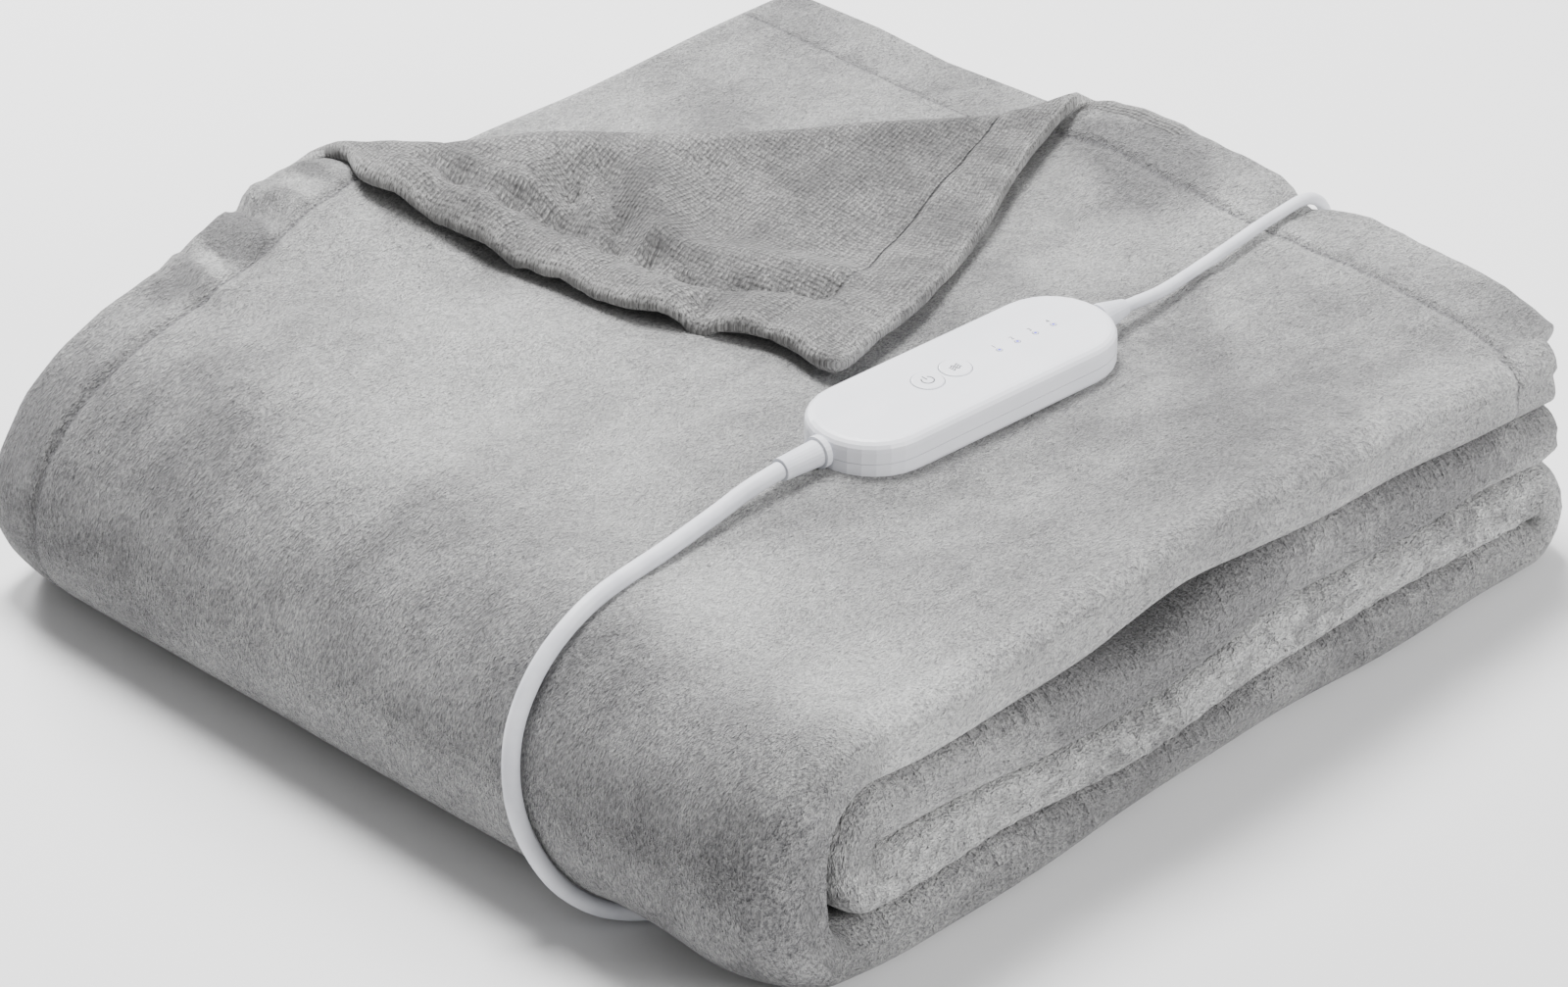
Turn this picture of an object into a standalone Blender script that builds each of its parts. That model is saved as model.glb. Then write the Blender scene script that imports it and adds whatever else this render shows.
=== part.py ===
"""Electric heated blanket: a plush throw folded into a stack, with a hand control on top.

Metres, +Z up.  The origin is at the middle of the stack's base.  -Y is the rounded front where the
strip of three plies wraps round the whole stack, +X the side where the folded plies show, -X the side
of the long hem and +Y the back, where the strip's hemmed ends and its back fold lie.
"""

from math import cos, exp, pi, radians, sin, tan
from typing import NamedTuple

import bmesh
import bpy
import numpy as np
from mathutils import Matrix, Vector

MM = 0.001
GAP = 0.3 * MM  # between two pieces that touch
TO_ORIGIN = (0.4 * MM, 3.7 * MM, 0.0)  # puts the origin under the middle of the stack's box

# ---------------------------------------------------------------- the folded throw
SHEET = 5.8 * MM  # plush on both faces, one cloth
LEFT, RIGHT = 0, 1  # the two side profiles that the stack is lofted between


class Side(NamedTuple):
    """Sizes along one side of the stack; pitch is from the middle of one ply to the next."""

    x_front: float
    x_back: float
    pitch_front: float
    pitch_back: float


SIDES = (
    Side(x_front=-213 * MM, x_back=-216 * MM, pitch_front=9.3 * MM, pitch_back=8.4 * MM),
    Side(x_front=220 * MM, x_back=222 * MM, pitch_front=9.2 * MM, pitch_back=8.6 * MM),
)
FRONT, BACK = -222 * MM, 217 * MM  # where the front and the back pitch are measured


class Run(NamedTuple):
    """A straight run of the three-ply strip; level 0 lies on the surface, 3 is on top."""

    level: int
    stations: tuple  # share of the run's length, in the direction that the strip travels


class Fold(NamedTuple):
    """A fold between two runs; each size is for the left and the right profile."""

    way: int  # -1 at the front, +1 at the back
    tip: tuple  # y of the strip's middle where the fold reaches furthest
    depth_first: tuple  # how far before its tip the first half starts to turn
    depth_last: tuple
    belly: tuple  # place of the tip as a share from the first level to the last
    turned_in: bool  # the strip's outer face is on the inside of the fold
    steps: int


TOP_END = (225 * MM, 221 * MM)
SECOND_END = (223 * MM, 217 * MM)
WRAP = Fold(-1, (-224 * MM, -228 * MM), (92 * MM, 52 * MM), (20 * MM, 32 * MM), (0.70, 0.52), False, 7)
BACK_FOLD = Fold(1, (216 * MM, 216 * MM), (13 * MM, 13 * MM), (13 * MM, 13 * MM), (0.5, 0.5), False, 4)
LOBE = Fold(-1, (-160 * MM, -196 * MM), (14 * MM, 14 * MM), (14 * MM, 14 * MM), (0.5, 0.5), True, 4)
BOTTOM = Run(0, (0.0, 0.06, 0.15, 0.35, 0.6, 0.85))
THIRD = Run(1, (0.0, 0.2, 0.5, 0.8))
SECOND = Run(2, (0.0, 0.2, 0.5, 0.8, 1.0))
TOP_ROWS = (-62, -41, -24, -6, 22, 60, 100, 140, 180, 220)  # mm behind the hem's end of the crease

# How far the hem of the top third reaches past the other plies on the left, along the strip.
HEM_REACH = {"top": 8 * MM, "wrap": 0.0, "foot": -2 * MM, "bottom": -6 * MM, "inside": -4 * MM}

# Columns across the plies, closer together over the cord's channel.
COLUMNS = (0.0, 0.22, 0.44, 0.64, 0.82)  # shares of the way from the left edge to the channel
CHANNEL_COLUMNS = (-33, -20, -8, 8, 20, 33)  # mm from the channel's middle
FOLD_ROUND_STEPS, HEM_FOLD_STEPS = 4, 3

# The channel that the mains lead keeps open under the stack: its middle line in plan, and its shape.
CHANNEL_LINE = (Vector((150 * MM, -187 * MM)), Vector((107 * MM, 272 * MM)))
CHANNEL_RISE = 9.4 * MM
CHANNEL_FADES_AT = 85 * MM  # height at which the plies above have taken up the rise
CHANNEL_HALF = (9 * MM, 36 * MM)  # half its width where it is full, and where it has run out
CHANNEL_OPENS = (-238 * MM, -206 * MM)  # y where its rise starts, and where it is full

# Rounded corners of the stack's plan: side, way, size and draw.
CORNERS = (
    (RIGHT, 1, 70 * MM, 10 * MM),
    (RIGHT, -1, 40 * MM, 9 * MM),
    (LEFT, -1, 50 * MM, 8 * MM),
)

# The turned-back corner of the top ply.
CREASE_HEM = Vector((-206 * MM, -47 * MM))  # where the fold's crest crosses the long hem
CREASE_ANGLE = radians(55)  # from +X
BEND = 11 * MM  # radius of the fold's middle surface
FLAP_STRETCH, FLAP_SHEAR = 1.10, -0.30
FLAP_REST = 8.2 * MM  # height of the turned corner's middle over the ply it lies on
FLAP_SETTLE = 42 * MM  # how fast it comes down to that from the crest
BEND_STEPS, FLAP_STEPS = 4, 4


def pitch_at(side, y):
    """Pitch of the plies at y on one side profile."""
    share = min(max((y - FRONT) / (BACK - FRONT), 0.0), 1.05)
    return side.pitch_front + (side.pitch_back - side.pitch_front) * share


def level_height(side, level, y):
    """Height of the strip's middle ply on a level, so that the lowest face is at zero."""
    return pitch_at(side, y) * (1 + 3 * level) + SHEET / 2


class Station(NamedTuple):
    """One point of a side profile: the strip's middle and the way that its outer face looks."""

    y: float
    z: float
    ny: float
    nz: float
    pitch: float


def fold_stations(fold, which, first_level, last_level):
    """Stations round a fold: two quarter ellipses, from the first level to the last."""
    side = SIDES[which]
    tip, steps = fold.tip[which], fold.steps
    y_first = tip - fold.way * fold.depth_first[which]
    y_last = tip - fold.way * fold.depth_last[which]
    z_first = level_height(side, first_level, y_first)
    z_last = level_height(side, last_level, y_last)
    z_tip = z_first + (z_last - z_first) * fold.belly[which]
    rising = 1 if z_last > z_first else -1
    outward = -1 if fold.turned_in else 1
    found = []
    for i in range(1, 2 * steps):
        turn = pi * i / (2 * steps)
        if turn <= pi / 2:
            ry, rz = fold.depth_first[which], abs(z_tip - z_first)
        else:
            ry, rz = fold.depth_last[which], abs(z_last - z_tip)
        y = tip - fold.way * ry * (1 - sin(turn))
        z = z_tip - rising * rz * cos(turn)
        normal = Vector((fold.way * sin(turn) / ry, -rising * cos(turn) / rz)).normalized() * outward
        found.append(Station(y, z, normal.x, normal.y, pitch_at(side, tip)))
    return found


def run_stations(run, which, start, end, up):
    """Stations along a straight run from start to end."""
    side = SIDES[which]
    ys = [start + (end - start) * share for share in run.stations]
    return [Station(y, level_height(side, run.level, y), 0.0, up, pitch_at(side, y)) for y in ys]


def top_rows():
    """The y of each station of the top run, from the back end to the front."""
    return [CREASE_HEM.y + row * MM for row in reversed(TOP_ROWS)]


def side_profile(which):
    """Every station of one side profile, each with the name of its section."""
    side = SIDES[which]
    top_end = TOP_END[which]
    found = [("top", Station(top_end, level_height(side, 3, top_end), 0.0, 1.0, pitch_at(side, top_end)))]
    for y in top_rows():
        found.append(("top", Station(y, level_height(side, 3, y), 0.0, 1.0, pitch_at(side, y))))
    found += [("wrap", s) for s in fold_stations(WRAP, which, 3, 0)]
    start, end = WRAP.tip[which] + WRAP.depth_last[which], BACK_FOLD.tip[which] - BACK_FOLD.depth_first[which]
    found += [("bottom", s) for s in run_stations(BOTTOM, which, start, end, -1.0)]
    found += [("inside", s) for s in fold_stations(BACK_FOLD, which, 0, 1)]
    start, end = BACK_FOLD.tip[which] - BACK_FOLD.depth_last[which], LOBE.tip[which] + LOBE.depth_first[which]
    found += [("inside", s) for s in run_stations(THIRD, which, start, end, 1.0)]
    found += [("inside", s) for s in fold_stations(LOBE, which, 1, 2)]
    start, end = LOBE.tip[which] + LOBE.depth_last[which], SECOND_END[which]
    found += [("inside", s) for s in run_stations(SECOND, which, start, end, -1.0)]
    return found


def share_back(y):
    """0 at the front of the stack, 1 at its back."""
    return min(max((y - FRONT) / (BACK - FRONT), 0.0), 1.0)


def side_x(which, y):
    """The x of one side of the stack."""
    side = SIDES[which]
    return side.x_front + (side.x_back - side.x_front) * share_back(y)


def hem_reach(section, y, z):
    """How far the long hem reaches past the left side at a station."""
    if section == "wrap":
        top = level_height(SIDES[LEFT], 3, FRONT)
        return HEM_REACH["foot"] + (HEM_REACH["wrap"] - HEM_REACH["foot"]) * min(max(z / top, 0.0), 1.0)
    return HEM_REACH.get(section, HEM_REACH["inside"])


def crossing(y):
    """The x at which the turned corner's bend starts on the row y."""
    start = crease_start()
    return start.x + (y - start.y) / tan(CREASE_ANGLE)


def crease_across():
    """Unit vector across the crease, towards the corner that is turned back."""
    return Vector((-sin(CREASE_ANGLE), cos(CREASE_ANGLE)))


def crease_start():
    """A point of the line where the bend starts, below the long hem's end of the crest."""
    return CREASE_HEM - crease_across() * BEND


def flat_columns(x_left, x_right, y):
    """The x of each column of a ply that lies flat."""
    middle = channel_x(y)
    first = middle + CHANNEL_COLUMNS[0] * MM
    plain = [x_left + (first - x_left) * share for share in COLUMNS]
    channel = [middle + off * MM for off in CHANNEL_COLUMNS]
    between = [(channel[-1] + x_right) / 2]
    return plain + channel + between + [x_right]


def turned_columns(x_left, x_right, y):
    """Columns of the top ply on a row that crosses the turned corner."""
    count = len(COLUMNS) + len(CHANNEL_COLUMNS) + 2
    bend_end = crossing(y)
    bend_width = pi * BEND / sin(CREASE_ANGLE)
    turned = bend_end - x_left
    parts = BEND_STEPS + FLAP_STEPS
    if turned < 1.6 * bend_width:
        folded = [x_left + turned * i / parts for i in range(parts)]
    else:
        flap_width = turned - bend_width
        folded = [x_left + flap_width * i / FLAP_STEPS for i in range(FLAP_STEPS)]
        folded += [x_left + flap_width + bend_width * i / BEND_STEPS for i in range(BEND_STEPS)]
    rest = count - parts
    flat = [bend_end + (x_right - bend_end) * i / (rest - 1) for i in range(rest)]
    return folded + flat


def ply_ring(section, y, z, pitch):
    """The strip's section across the plies: (x, height, x normal, height normal, ply) per point.

    It runs from the long hem over the top third, round the fold on the right, back under it as the
    middle third, round the fold on the left and out along the inner third to its hem.
    """
    x_left, x_right = side_x(LEFT, y), side_x(RIGHT, y)
    right_turn = x_right - pitch - SHEET / 2
    left_turn = x_left + pitch / 2 + SHEET / 2
    hem = x_left - hem_reach(section, y, z)
    turned = section == "top" and crossing(y) - hem > 8 * MM
    outer = turned_columns(hem, right_turn, y) if turned else flat_columns(hem, right_turn, y)
    ring = [(x, pitch, 0.0, 1.0, "outer") for x in outer[:-1]]
    for i in range(FOLD_ROUND_STEPS):
        turn = pi * i / FOLD_ROUND_STEPS
        ring.append((right_turn + pitch * sin(turn), pitch * cos(turn), sin(turn), cos(turn), "round"))
    middle = flat_columns(left_turn, right_turn, y)[::-1]
    ring += [(x, -pitch, 0.0, -1.0, "middle") for x in middle[:-1]]
    for i in range(HEM_FOLD_STEPS):
        turn = pi * i / HEM_FOLD_STEPS
        half = pitch / 2
        ring.append((left_turn - half * sin(turn), -half - half * cos(turn), -sin(turn), -cos(turn), "round"))
    inner = flat_columns(left_turn, right_turn - SHEET / 2 - 1.5 * MM, y)
    ring += [(x, 0.0, 0.0, 1.0, "inner") for x in inner]
    return ring


def rounded_plan(point):
    """Draws the stack's corners in, so that its plan is rounded there."""
    x, y, z = point
    for which, way, size, draw in CORNERS:
        edge = side_x(which, y)
        sign = 1 if which == RIGHT else -1
        across = (size - sign * (edge - x)) / size
        tip = BACK if way > 0 else FRONT
        along = (size - way * (tip - y)) / size
        if across > 0 and along > 0:
            y -= way * draw * min(across, 1.1) ** 2 * min(along, 1.0)
    return Vector((x, y, z))


def channel_x(y):
    """The x of the channel's middle at y."""
    front, back = CHANNEL_LINE
    return front.x + (back.x - front.x) * (y - front.y) / (back.y - front.y)


def channel_rise(x, y):
    """How far the cord's channel lifts the lowest ply at a place."""
    off = abs(x - channel_x(max(y, CHANNEL_LINE[0].y)))
    shape = float(np.interp(off, CHANNEL_HALF, (1.0, 0.0)))
    opened = float(np.interp(y, CHANNEL_OPENS, (0.0, 1.0)))
    return CHANNEL_RISE * shape * opened


def over_channel(point):
    """Lifts a point of the stack over the cord's channel; the plies above take up the rise."""
    x, y, z = point
    return Vector((x, y, z + channel_rise(x, y) * max(0.0, 1 - z / CHANNEL_FADES_AT)))


def top_height(x, y):
    """Height of the top ply's middle at a place, before any corner is turned."""
    share = (x - side_x(LEFT, y)) / (side_x(RIGHT, y) - side_x(LEFT, y))
    left, right = [level_height(side, 3, y) + pitch_at(side, y) for side in SIDES]
    return left + (right - left) * share


def turned_back(x, y, z, offset):
    """A point of the top ply after its corner is turned back; offset is along the face's normal."""
    across = crease_across()
    along = Vector((across.y, -across.x))
    past = (Vector((x, y)) - crease_start()).dot(across)
    if past <= 0:
        return Vector((x, y, z + offset))
    turn = min(past / BEND, pi)
    beyond = max(past - pi * BEND, 0.0)
    reach = BEND * sin(turn) - FLAP_STRETCH * beyond
    settled = (2 * BEND - FLAP_REST) * (1 - exp(-beyond / FLAP_SETTLE))
    middle = Vector((x, y)) + across * (reach - past) + along * (FLAP_SHEAR * beyond)
    height = top_height(middle.x, middle.y) + BEND * (1 - cos(turn)) - settled
    place = middle - across * (sin(turn) * offset)
    return Vector((place.x, place.y, height + cos(turn) * offset))


def lofted(point, height, left, right, x_left, x_right):
    """A point at x between the two profiles, at a height over the strip's middle."""
    share = (point - x_left) / (x_right - x_left)
    mean = (left.pitch + right.pitch) / 2
    ends = [
        Vector((s.y + s.ny * height * s.pitch / mean, s.z + s.nz * height * s.pitch / mean))
        for s in (left, right)
    ]
    y, z = ends[0].lerp(ends[1], share)
    return Vector((point, y, z))


def strip_section(section, left, right):
    """The two faces of the sheet at one station: two lists of points, outer face and inner face."""
    y_mid, z_mid = (left.y + right.y) / 2, (left.z + right.z) / 2
    pitch = (left.pitch + right.pitch) / 2
    x_left, x_right = side_x(LEFT, y_mid), side_x(RIGHT, y_mid)
    faces = []
    for half in (SHEET / 2, -SHEET / 2):
        face = []
        for x, height, nx, nh, ply in ply_ring(section, y_mid, z_mid, pitch):
            if section == "top" and ply == "outer":
                middle = rounded_plan(lofted(x, height, left, right, x_left, x_right))
                face.append(turned_back(middle.x, middle.y, middle.z, half * nh))
                continue
            place = lofted(x + nx * half, height + nh * half, left, right, x_left, x_right)
            if section == "bottom" and ply == "outer" and half > 0:
                place.z = 0.0
            face.append(over_channel(rounded_plan(place)))
        faces.append(face)
    return faces


def blanket_mesh():
    """The whole folded sheet as one closed mesh."""
    profiles = list(zip(side_profile(LEFT), side_profile(RIGHT)))
    mesh = bmesh.new()
    rows = []
    for (section, left), (_, right) in profiles:
        outer, inner = strip_section(section, left, right)
        rows.append([mesh.verts.new(p) for p in outer + inner[::-1]])
    count = len(rows[0])
    for row, after in zip(rows, rows[1:]):
        for i in range(count):
            j = (i + 1) % count
            mesh.faces.new((row[i], after[i], after[j], row[j]))
    for row, flip in ((rows[0], False), (rows[-1], True)):
        for i in range(count // 2 - 1):
            corners = (row[i], row[i + 1], row[count - 2 - i], row[count - 1 - i])
            mesh.faces.new(corners[::-1] if flip else corners)
    bmesh.ops.triangulate(mesh, faces=mesh.faces[:])
    bmesh.ops.recalc_face_normals(mesh, faces=mesh.faces[:])
    return mesh


# ---------------------------------------------------------------- the hand control
CONTROL_MIDDLE = Vector((85.7 * MM, 9.9 * MM))
CONTROL_TURN = radians(-3)  # its length leans from +Y towards +X
CONTROL_LENGTH, CONTROL_WIDTH = 147 * MM, 50.5 * MM
BASE_TOP = 6.4 * MM
COVER_BOTTOM, COVER_TOP = BASE_TOP + GAP, 15.4 * MM
BASE_ROUND, COVER_ROUND = 1.6 * MM, 4.0 * MM

KEY_RADIUS, KEY_TALL, KEY_PROUD, KEY_TRAVEL = 6.5 * MM, 2.6 * MM, 0.4 * MM, 0.6 * MM
KEY_PLACES = {"key_power": -17.2 * MM, "key_heat": -2.6 * MM}  # along the control
KEY_OFF_LINE = -1.5 * MM
LIGHT_RADIUS, LIGHT_TALL = 1.1 * MM, 1.2 * MM
LIGHT_FIRST, LIGHT_PITCH, LIGHT_COUNT = 19.5 * MM, 9.7 * MM, 4

CORD_HEIGHT = 8.0 * MM  # of both cords' middle over the control's base
MAINS_RADIUS, LEAD_RADIUS = 3.5 * MM, 2.5 * MM
MAINS_RELIEF = ((0.0, 6.5), (2.6, 6.5), (2.6, 5.3), (21.0, 4.6))  # mm from the control, radius
LEAD_RELIEF = ((0.0, 6.0), (1.6, 6.0), (14.0, 3.4))

# ---------------------------------------------------------------- cords, plug, coil and socket
# Routes are in mm.  The mains lead runs from its relief over the top, down the rounded front, in at its
# foot and under the stack to its coil behind it.
MAINS_ROUTE = (
    (80.2, -93.5, 113.3),
    (80.2, -103.5, 112.0),
    (80.9, -114.0, 110.4),
    (82.0, -127.0, 109.7),
    (84.0, -142.0, 109.6),
    (85.7, -158.0, 109.5),
    (87.0, -173.0, 109.7),
    (87.5, -187.0, 108.3),
    (87.8, -198.7, 104.6),
    (88.4, -210.4, 99.1),
    (89.3, -220.2, 92.3),
    (90.6, -228.4, 84.0),
    (92.8, -235.2, 75.5),
    (95.6, -239.6, 67.0),
    (98.4, -242.3, 58.5),
    (101.2, -243.5, 50.0),
    (104.4, -243.2, 41.5),
    (107.8, -241.4, 33.0),
    (111.4, -238.6, 24.6),
    (115.2, -234.9, 17.2),
    (119.8, -229.9, 11.4),
    (125.2, -224.3, 6.8),
    (131.8, -216.4, 4.5),
    (138.8, -206.5, 3.8),
    (145.0, -195.5, 3.8),
    (148.8, -183.0, 3.8),
    (148.6, -165.0, 3.8),
    (143.8, -120.0, 3.8),
    (130.6, 20.0, 3.8),
    (117.5, 160.0, 3.8),
    (112.2, 215.0, 3.8),
    (108.6, 255.6, 3.8),
)
# From the coil to the plug.
TAIL_ROUTE = (
    (22.2, 281.0, 13.0),
    (15.4, 276.1, 12.8),
    (8.0, 272.7, 11.9),
    (-0.1, 270.4, 10.2),
    (-8.6, 269.4, 8.4),
    (-14.4, 269.2, 7.6),
    (-19.8, 269.2, 7.4),
)
# The blanket's own lead runs from the control over the back edge to its connector.
LEAD_ROUTE = (
    (90.7, 105.5, 109.7),
    (89.6, 115.5, 107.5),
    (87.6, 127.5, 105.6),
    (85.6, 142.0, 104.6),
    (83.9, 157.0, 104.2),
    (82.0, 173.0, 103.9),
    (80.0, 190.0, 103.7),
    (78.9, 206.0, 103.6),
    (78.8, 217.5, 104.0),
    (78.7, 224.6, 102.6),
    (78.6, 230.6, 98.4),
    (78.6, 234.7, 92.2),
    (78.5, 236.0, 85.0),
    (77.9, 234.8, 78.0),
    (76.0, 232.4, 72.0),
    (72.6, 229.9, 67.3),
    (68.0, 227.9, 64.1),
    (62.5, 226.8, 62.6),
)
LEAD_PLUG_AT = Vector((54 * MM, 226.4 * MM, 62.4 * MM))
LEAD_PLUG = ((0.0, 3.2), (11.0, 4.8), (11.0, 5.6), (26.0, 5.6))  # mm from the cord, radius
SOCKET_SIZE = Vector((35.4 * MM, 11.8 * MM, 18 * MM))
SOCKET_BACK = 220.5 * MM  # y of its face on the hem
TUBE_STEP_DIAMETERS = 2
CORD_GAP = 0.4 * MM  # from a relief or a plug to the end of its cord

# The coil has three turns on the surface and two on top of its inner ones; its middle turn's radius is
# five cord diameters.
COIL_MIDDLE = Vector((65 * MM, 277.2 * MM))
COIL_BOTTOM = 1.9 * MM
COIL_SECTION = (
    (27.3, 0.0),
    (42.8, 0.0),
    (45.6, 2.8),
    (45.6, 4.4),
    (42.8, 7.1),
    (39.2, 7.6),
    (38.6, 11.6),
    (36.0, 14.2),
    (27.3, 14.2),
    (24.4, 11.2),
    (24.4, 2.8),
)  # mm from its middle, and height
TIE_WALL, TIE_WIDTH, TIE_PLAY, TIE_AT = 1.0 * MM, 8 * MM, 0.7 * MM, radians(250)

PLUG_AT = Vector((-20.3 * MM, 269.2 * MM, 7.4 * MM))  # where its relief starts; it points along -X
PLUG_RELIEF = ((0.0, 4.6), (24.0, 6.4))
PLUG_OUTLINE = ((24.3, 6.2), (30, 7.4), (42, 17.6), (60, 17.6))  # mm from there, half width
PLUG_TALL = 13.7 * MM
PIN_RADIUS, PIN_LENGTH, PIN_APART = 2.0 * MM, 19 * MM, 19 * MM


class Finish(NamedTuple):
    """A plain finish: colour, roughness and metallic share."""

    colour: tuple
    roughness: float
    metallic: float = 0.0


FINISHES = {
    "plush": Finish((0.53, 0.53, 0.52), 0.95),
    "white_plastic": Finish((0.82, 0.83, 0.86), 0.30),
    "key_plastic": Finish((0.84, 0.85, 0.88), 0.35),
    "cord_jacket": Finish((0.80, 0.81, 0.84), 0.45),
    "lamp_lens": Finish((0.45, 0.42, 0.85), 0.20),
    "pin_metal": Finish((0.75, 0.74, 0.70), 0.25, 1.0),
    "tie_rubber": Finish((0.70, 0.70, 0.72), 0.60),
}


def material(name):
    """The material of a finish, made once."""
    made = bpy.data.materials.get(name)
    if made is None:
        finish = FINISHES[name]
        made = bpy.data.materials.new(name)
        made.use_nodes = True
        shader = made.node_tree.nodes["Principled BSDF"]
        shader.inputs["Base Color"].default_value = (*finish.colour, 1.0)
        shader.inputs["Roughness"].default_value = finish.roughness
        shader.inputs["Metallic"].default_value = finish.metallic
    return made


def new_collection(name):
    """A collection under the scene."""
    made = bpy.data.collections.new(name)
    bpy.context.scene.collection.children.link(made)
    return made


def from_bmesh(mesh, name, finish, home, place=None):
    """An object from a bmesh, in a collection and at a place."""
    data = bpy.data.meshes.new(name)
    mesh.to_mesh(data)
    mesh.free()
    made = bpy.data.objects.new(name, data)
    data.materials.append(material(finish))
    home.objects.link(made)
    if place is not None:
        made.matrix_world = place
    return made


def smooth(made, angle=radians(35)):
    """Round pieces are shaded smooth."""
    made.data.shade_smooth()
    made.data.set_sharp_from_angle(angle=angle)
    return made


def stadium(length, width, steps=14):
    """The outline of a bar with round ends, along Y."""
    radius = width / 2
    points = []
    for way in (1, -1):
        for i in range(steps + 1):
            turn = pi * i / steps
            along = length / 2 - radius + radius * sin(turn)
            points.append(Vector((radius * cos(turn), along)) * way)
    return points


def plate(outline, bottom, top):
    """A bmesh of a flat outline between two heights."""
    mesh = bmesh.new()
    face = mesh.faces.new([mesh.verts.new((p.x, p.y, bottom)) for p in outline])
    face.normal_update()
    if face.normal.z > 0:
        face.normal_flip()
    raised = bmesh.ops.extrude_face_region(mesh, geom=[face])
    lifted = [v for v in raised["geom"] if isinstance(v, bmesh.types.BMVert)]
    bmesh.ops.translate(mesh, verts=lifted, vec=(0, 0, top - bottom))
    bmesh.ops.recalc_face_normals(mesh, faces=mesh.faces[:])
    return mesh


def round_rim(mesh, height, radius, segments):
    """Rounds the edges that lie at a height."""
    rim = [e for e in mesh.edges if all(abs(v.co.z - height) < 1e-6 for v in e.verts)]
    bmesh.ops.bevel(mesh, geom=rim, offset=radius, segments=segments, profile=0.5, affect="EDGES")


def cylinder(radius, bottom, top, sides=32, rim=0.0):
    """A bmesh of an upright cylinder on the origin, its upper rim rounded."""
    mesh = bmesh.new()
    bmesh.ops.create_cone(
        mesh, cap_ends=True, segments=sides, radius1=radius, radius2=radius, depth=top - bottom
    )
    bmesh.ops.translate(mesh, verts=mesh.verts[:], vec=(0, 0, (top + bottom) / 2))
    if rim:
        round_rim(mesh, top, rim, 2)
    return mesh


def box(size):
    """A bmesh of a box on the origin."""
    mesh = bmesh.new()
    bmesh.ops.create_cube(mesh, size=1.0)
    bmesh.ops.scale(mesh, verts=mesh.verts[:], vec=size)
    return mesh


def turned(profile, sides=24):
    """A bmesh of a solid turned about Z from (height, radius) rows in mm."""
    mesh = bmesh.new()
    rings = []
    for height, radius in profile:
        ring = []
        for i in range(sides):
            turn = 2 * pi * i / sides
            ring.append(mesh.verts.new((radius * MM * cos(turn), radius * MM * sin(turn), height * MM)))
        rings.append(ring)
    for low, high in zip(rings, rings[1:]):
        for i in range(sides):
            j = (i + 1) % sides
            mesh.faces.new((low[i], low[j], high[j], high[i]))
    mesh.faces.new(rings[0][::-1])
    mesh.faces.new(rings[-1])
    bmesh.ops.recalc_face_normals(mesh, faces=mesh.faces[:])
    return mesh


def control_place():
    """Where the control lies: on the top ply and level with it."""
    x, y = CONTROL_MIDDLE
    step = 20 * MM
    across = Vector((2 * step, 0, top_height(x + step, y) - top_height(x - step, y)))
    along = Vector((0, 2 * step, top_height(x, y + step) - top_height(x, y - step)))
    up = across.cross(along).normalized()
    ahead = along.normalized() * cos(CONTROL_TURN) - across.normalized() * sin(CONTROL_TURN)
    side = ahead.cross(up).normalized()
    ahead = up.cross(side)
    base = Vector((x, y, top_height(x, y) + SHEET / 2)) + up * GAP
    return Matrix.Translation(base) @ Matrix((side, ahead, up)).transposed().to_4x4()


def cut(made, mesh, name, cutters, place):
    """Cuts a shape out of an object."""
    cutter = from_bmesh(mesh, name, "white_plastic", cutters, place)
    cutter.hide_render = True
    cutter.display_type = "WIRE"
    boolean = made.modifiers.new(name, "BOOLEAN")
    boolean.operation = "DIFFERENCE"
    boolean.solver = "EXACT"
    boolean.object = cutter


def light_places():
    """The place of each level light along the control."""
    return [LIGHT_FIRST + LIGHT_PITCH * i for i in range(LIGHT_COUNT)]


def make_control(home, cutters):
    """The hand control's two halves, keys and lights."""
    place = control_place()
    outline = stadium(CONTROL_LENGTH, CONTROL_WIDTH)
    base = plate(outline, 0.0, BASE_TOP)
    round_rim(base, 0.0, BASE_ROUND, 2)
    smooth(from_bmesh(base, "control_base", "white_plastic", home, place))
    cover = plate(outline, COVER_BOTTOM, COVER_TOP)
    round_rim(cover, COVER_TOP, COVER_ROUND, 4)
    cover = smooth(from_bmesh(cover, "control_top", "white_plastic", home, place))
    key_bottom = COVER_TOP + KEY_PROUD - KEY_TALL
    for name, y in KEY_PLACES.items():
        there = place @ Matrix.Translation((KEY_OFF_LINE, y, 0))
        well = cylinder(KEY_RADIUS + GAP, key_bottom - KEY_TRAVEL - GAP, COVER_TOP + MM)
        cut(cover, well, f"well_{name}", cutters, there)
        key = cylinder(KEY_RADIUS, 0.0, KEY_TALL, rim=0.5 * MM)
        raised = there @ Matrix.Translation((0, 0, key_bottom))
        smooth(from_bmesh(key, name, "key_plastic", home, raised))
    light_bottom = COVER_TOP - LIGHT_TALL + 0.1 * MM
    for i, y in enumerate(light_places()):
        there = place @ Matrix.Translation((0, y, 0))
        well = cylinder(LIGHT_RADIUS + GAP, light_bottom - GAP, COVER_TOP + MM, sides=16)
        cut(cover, well, f"well_light_{i + 1}", cutters, there)
        light = cylinder(LIGHT_RADIUS, light_bottom, light_bottom + LIGHT_TALL, sides=16)
        smooth(from_bmesh(light, f"light_{i + 1}", "lamp_lens", home, there))


def relief_place(way):
    """Where a relief stands on an end of the control: Z out of that end."""
    out = Matrix.Rotation(-pi / 2 * way, 4, "X")
    return control_place() @ Matrix.Translation((0, way * (CONTROL_LENGTH / 2 + GAP), CORD_HEIGHT)) @ out


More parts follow.
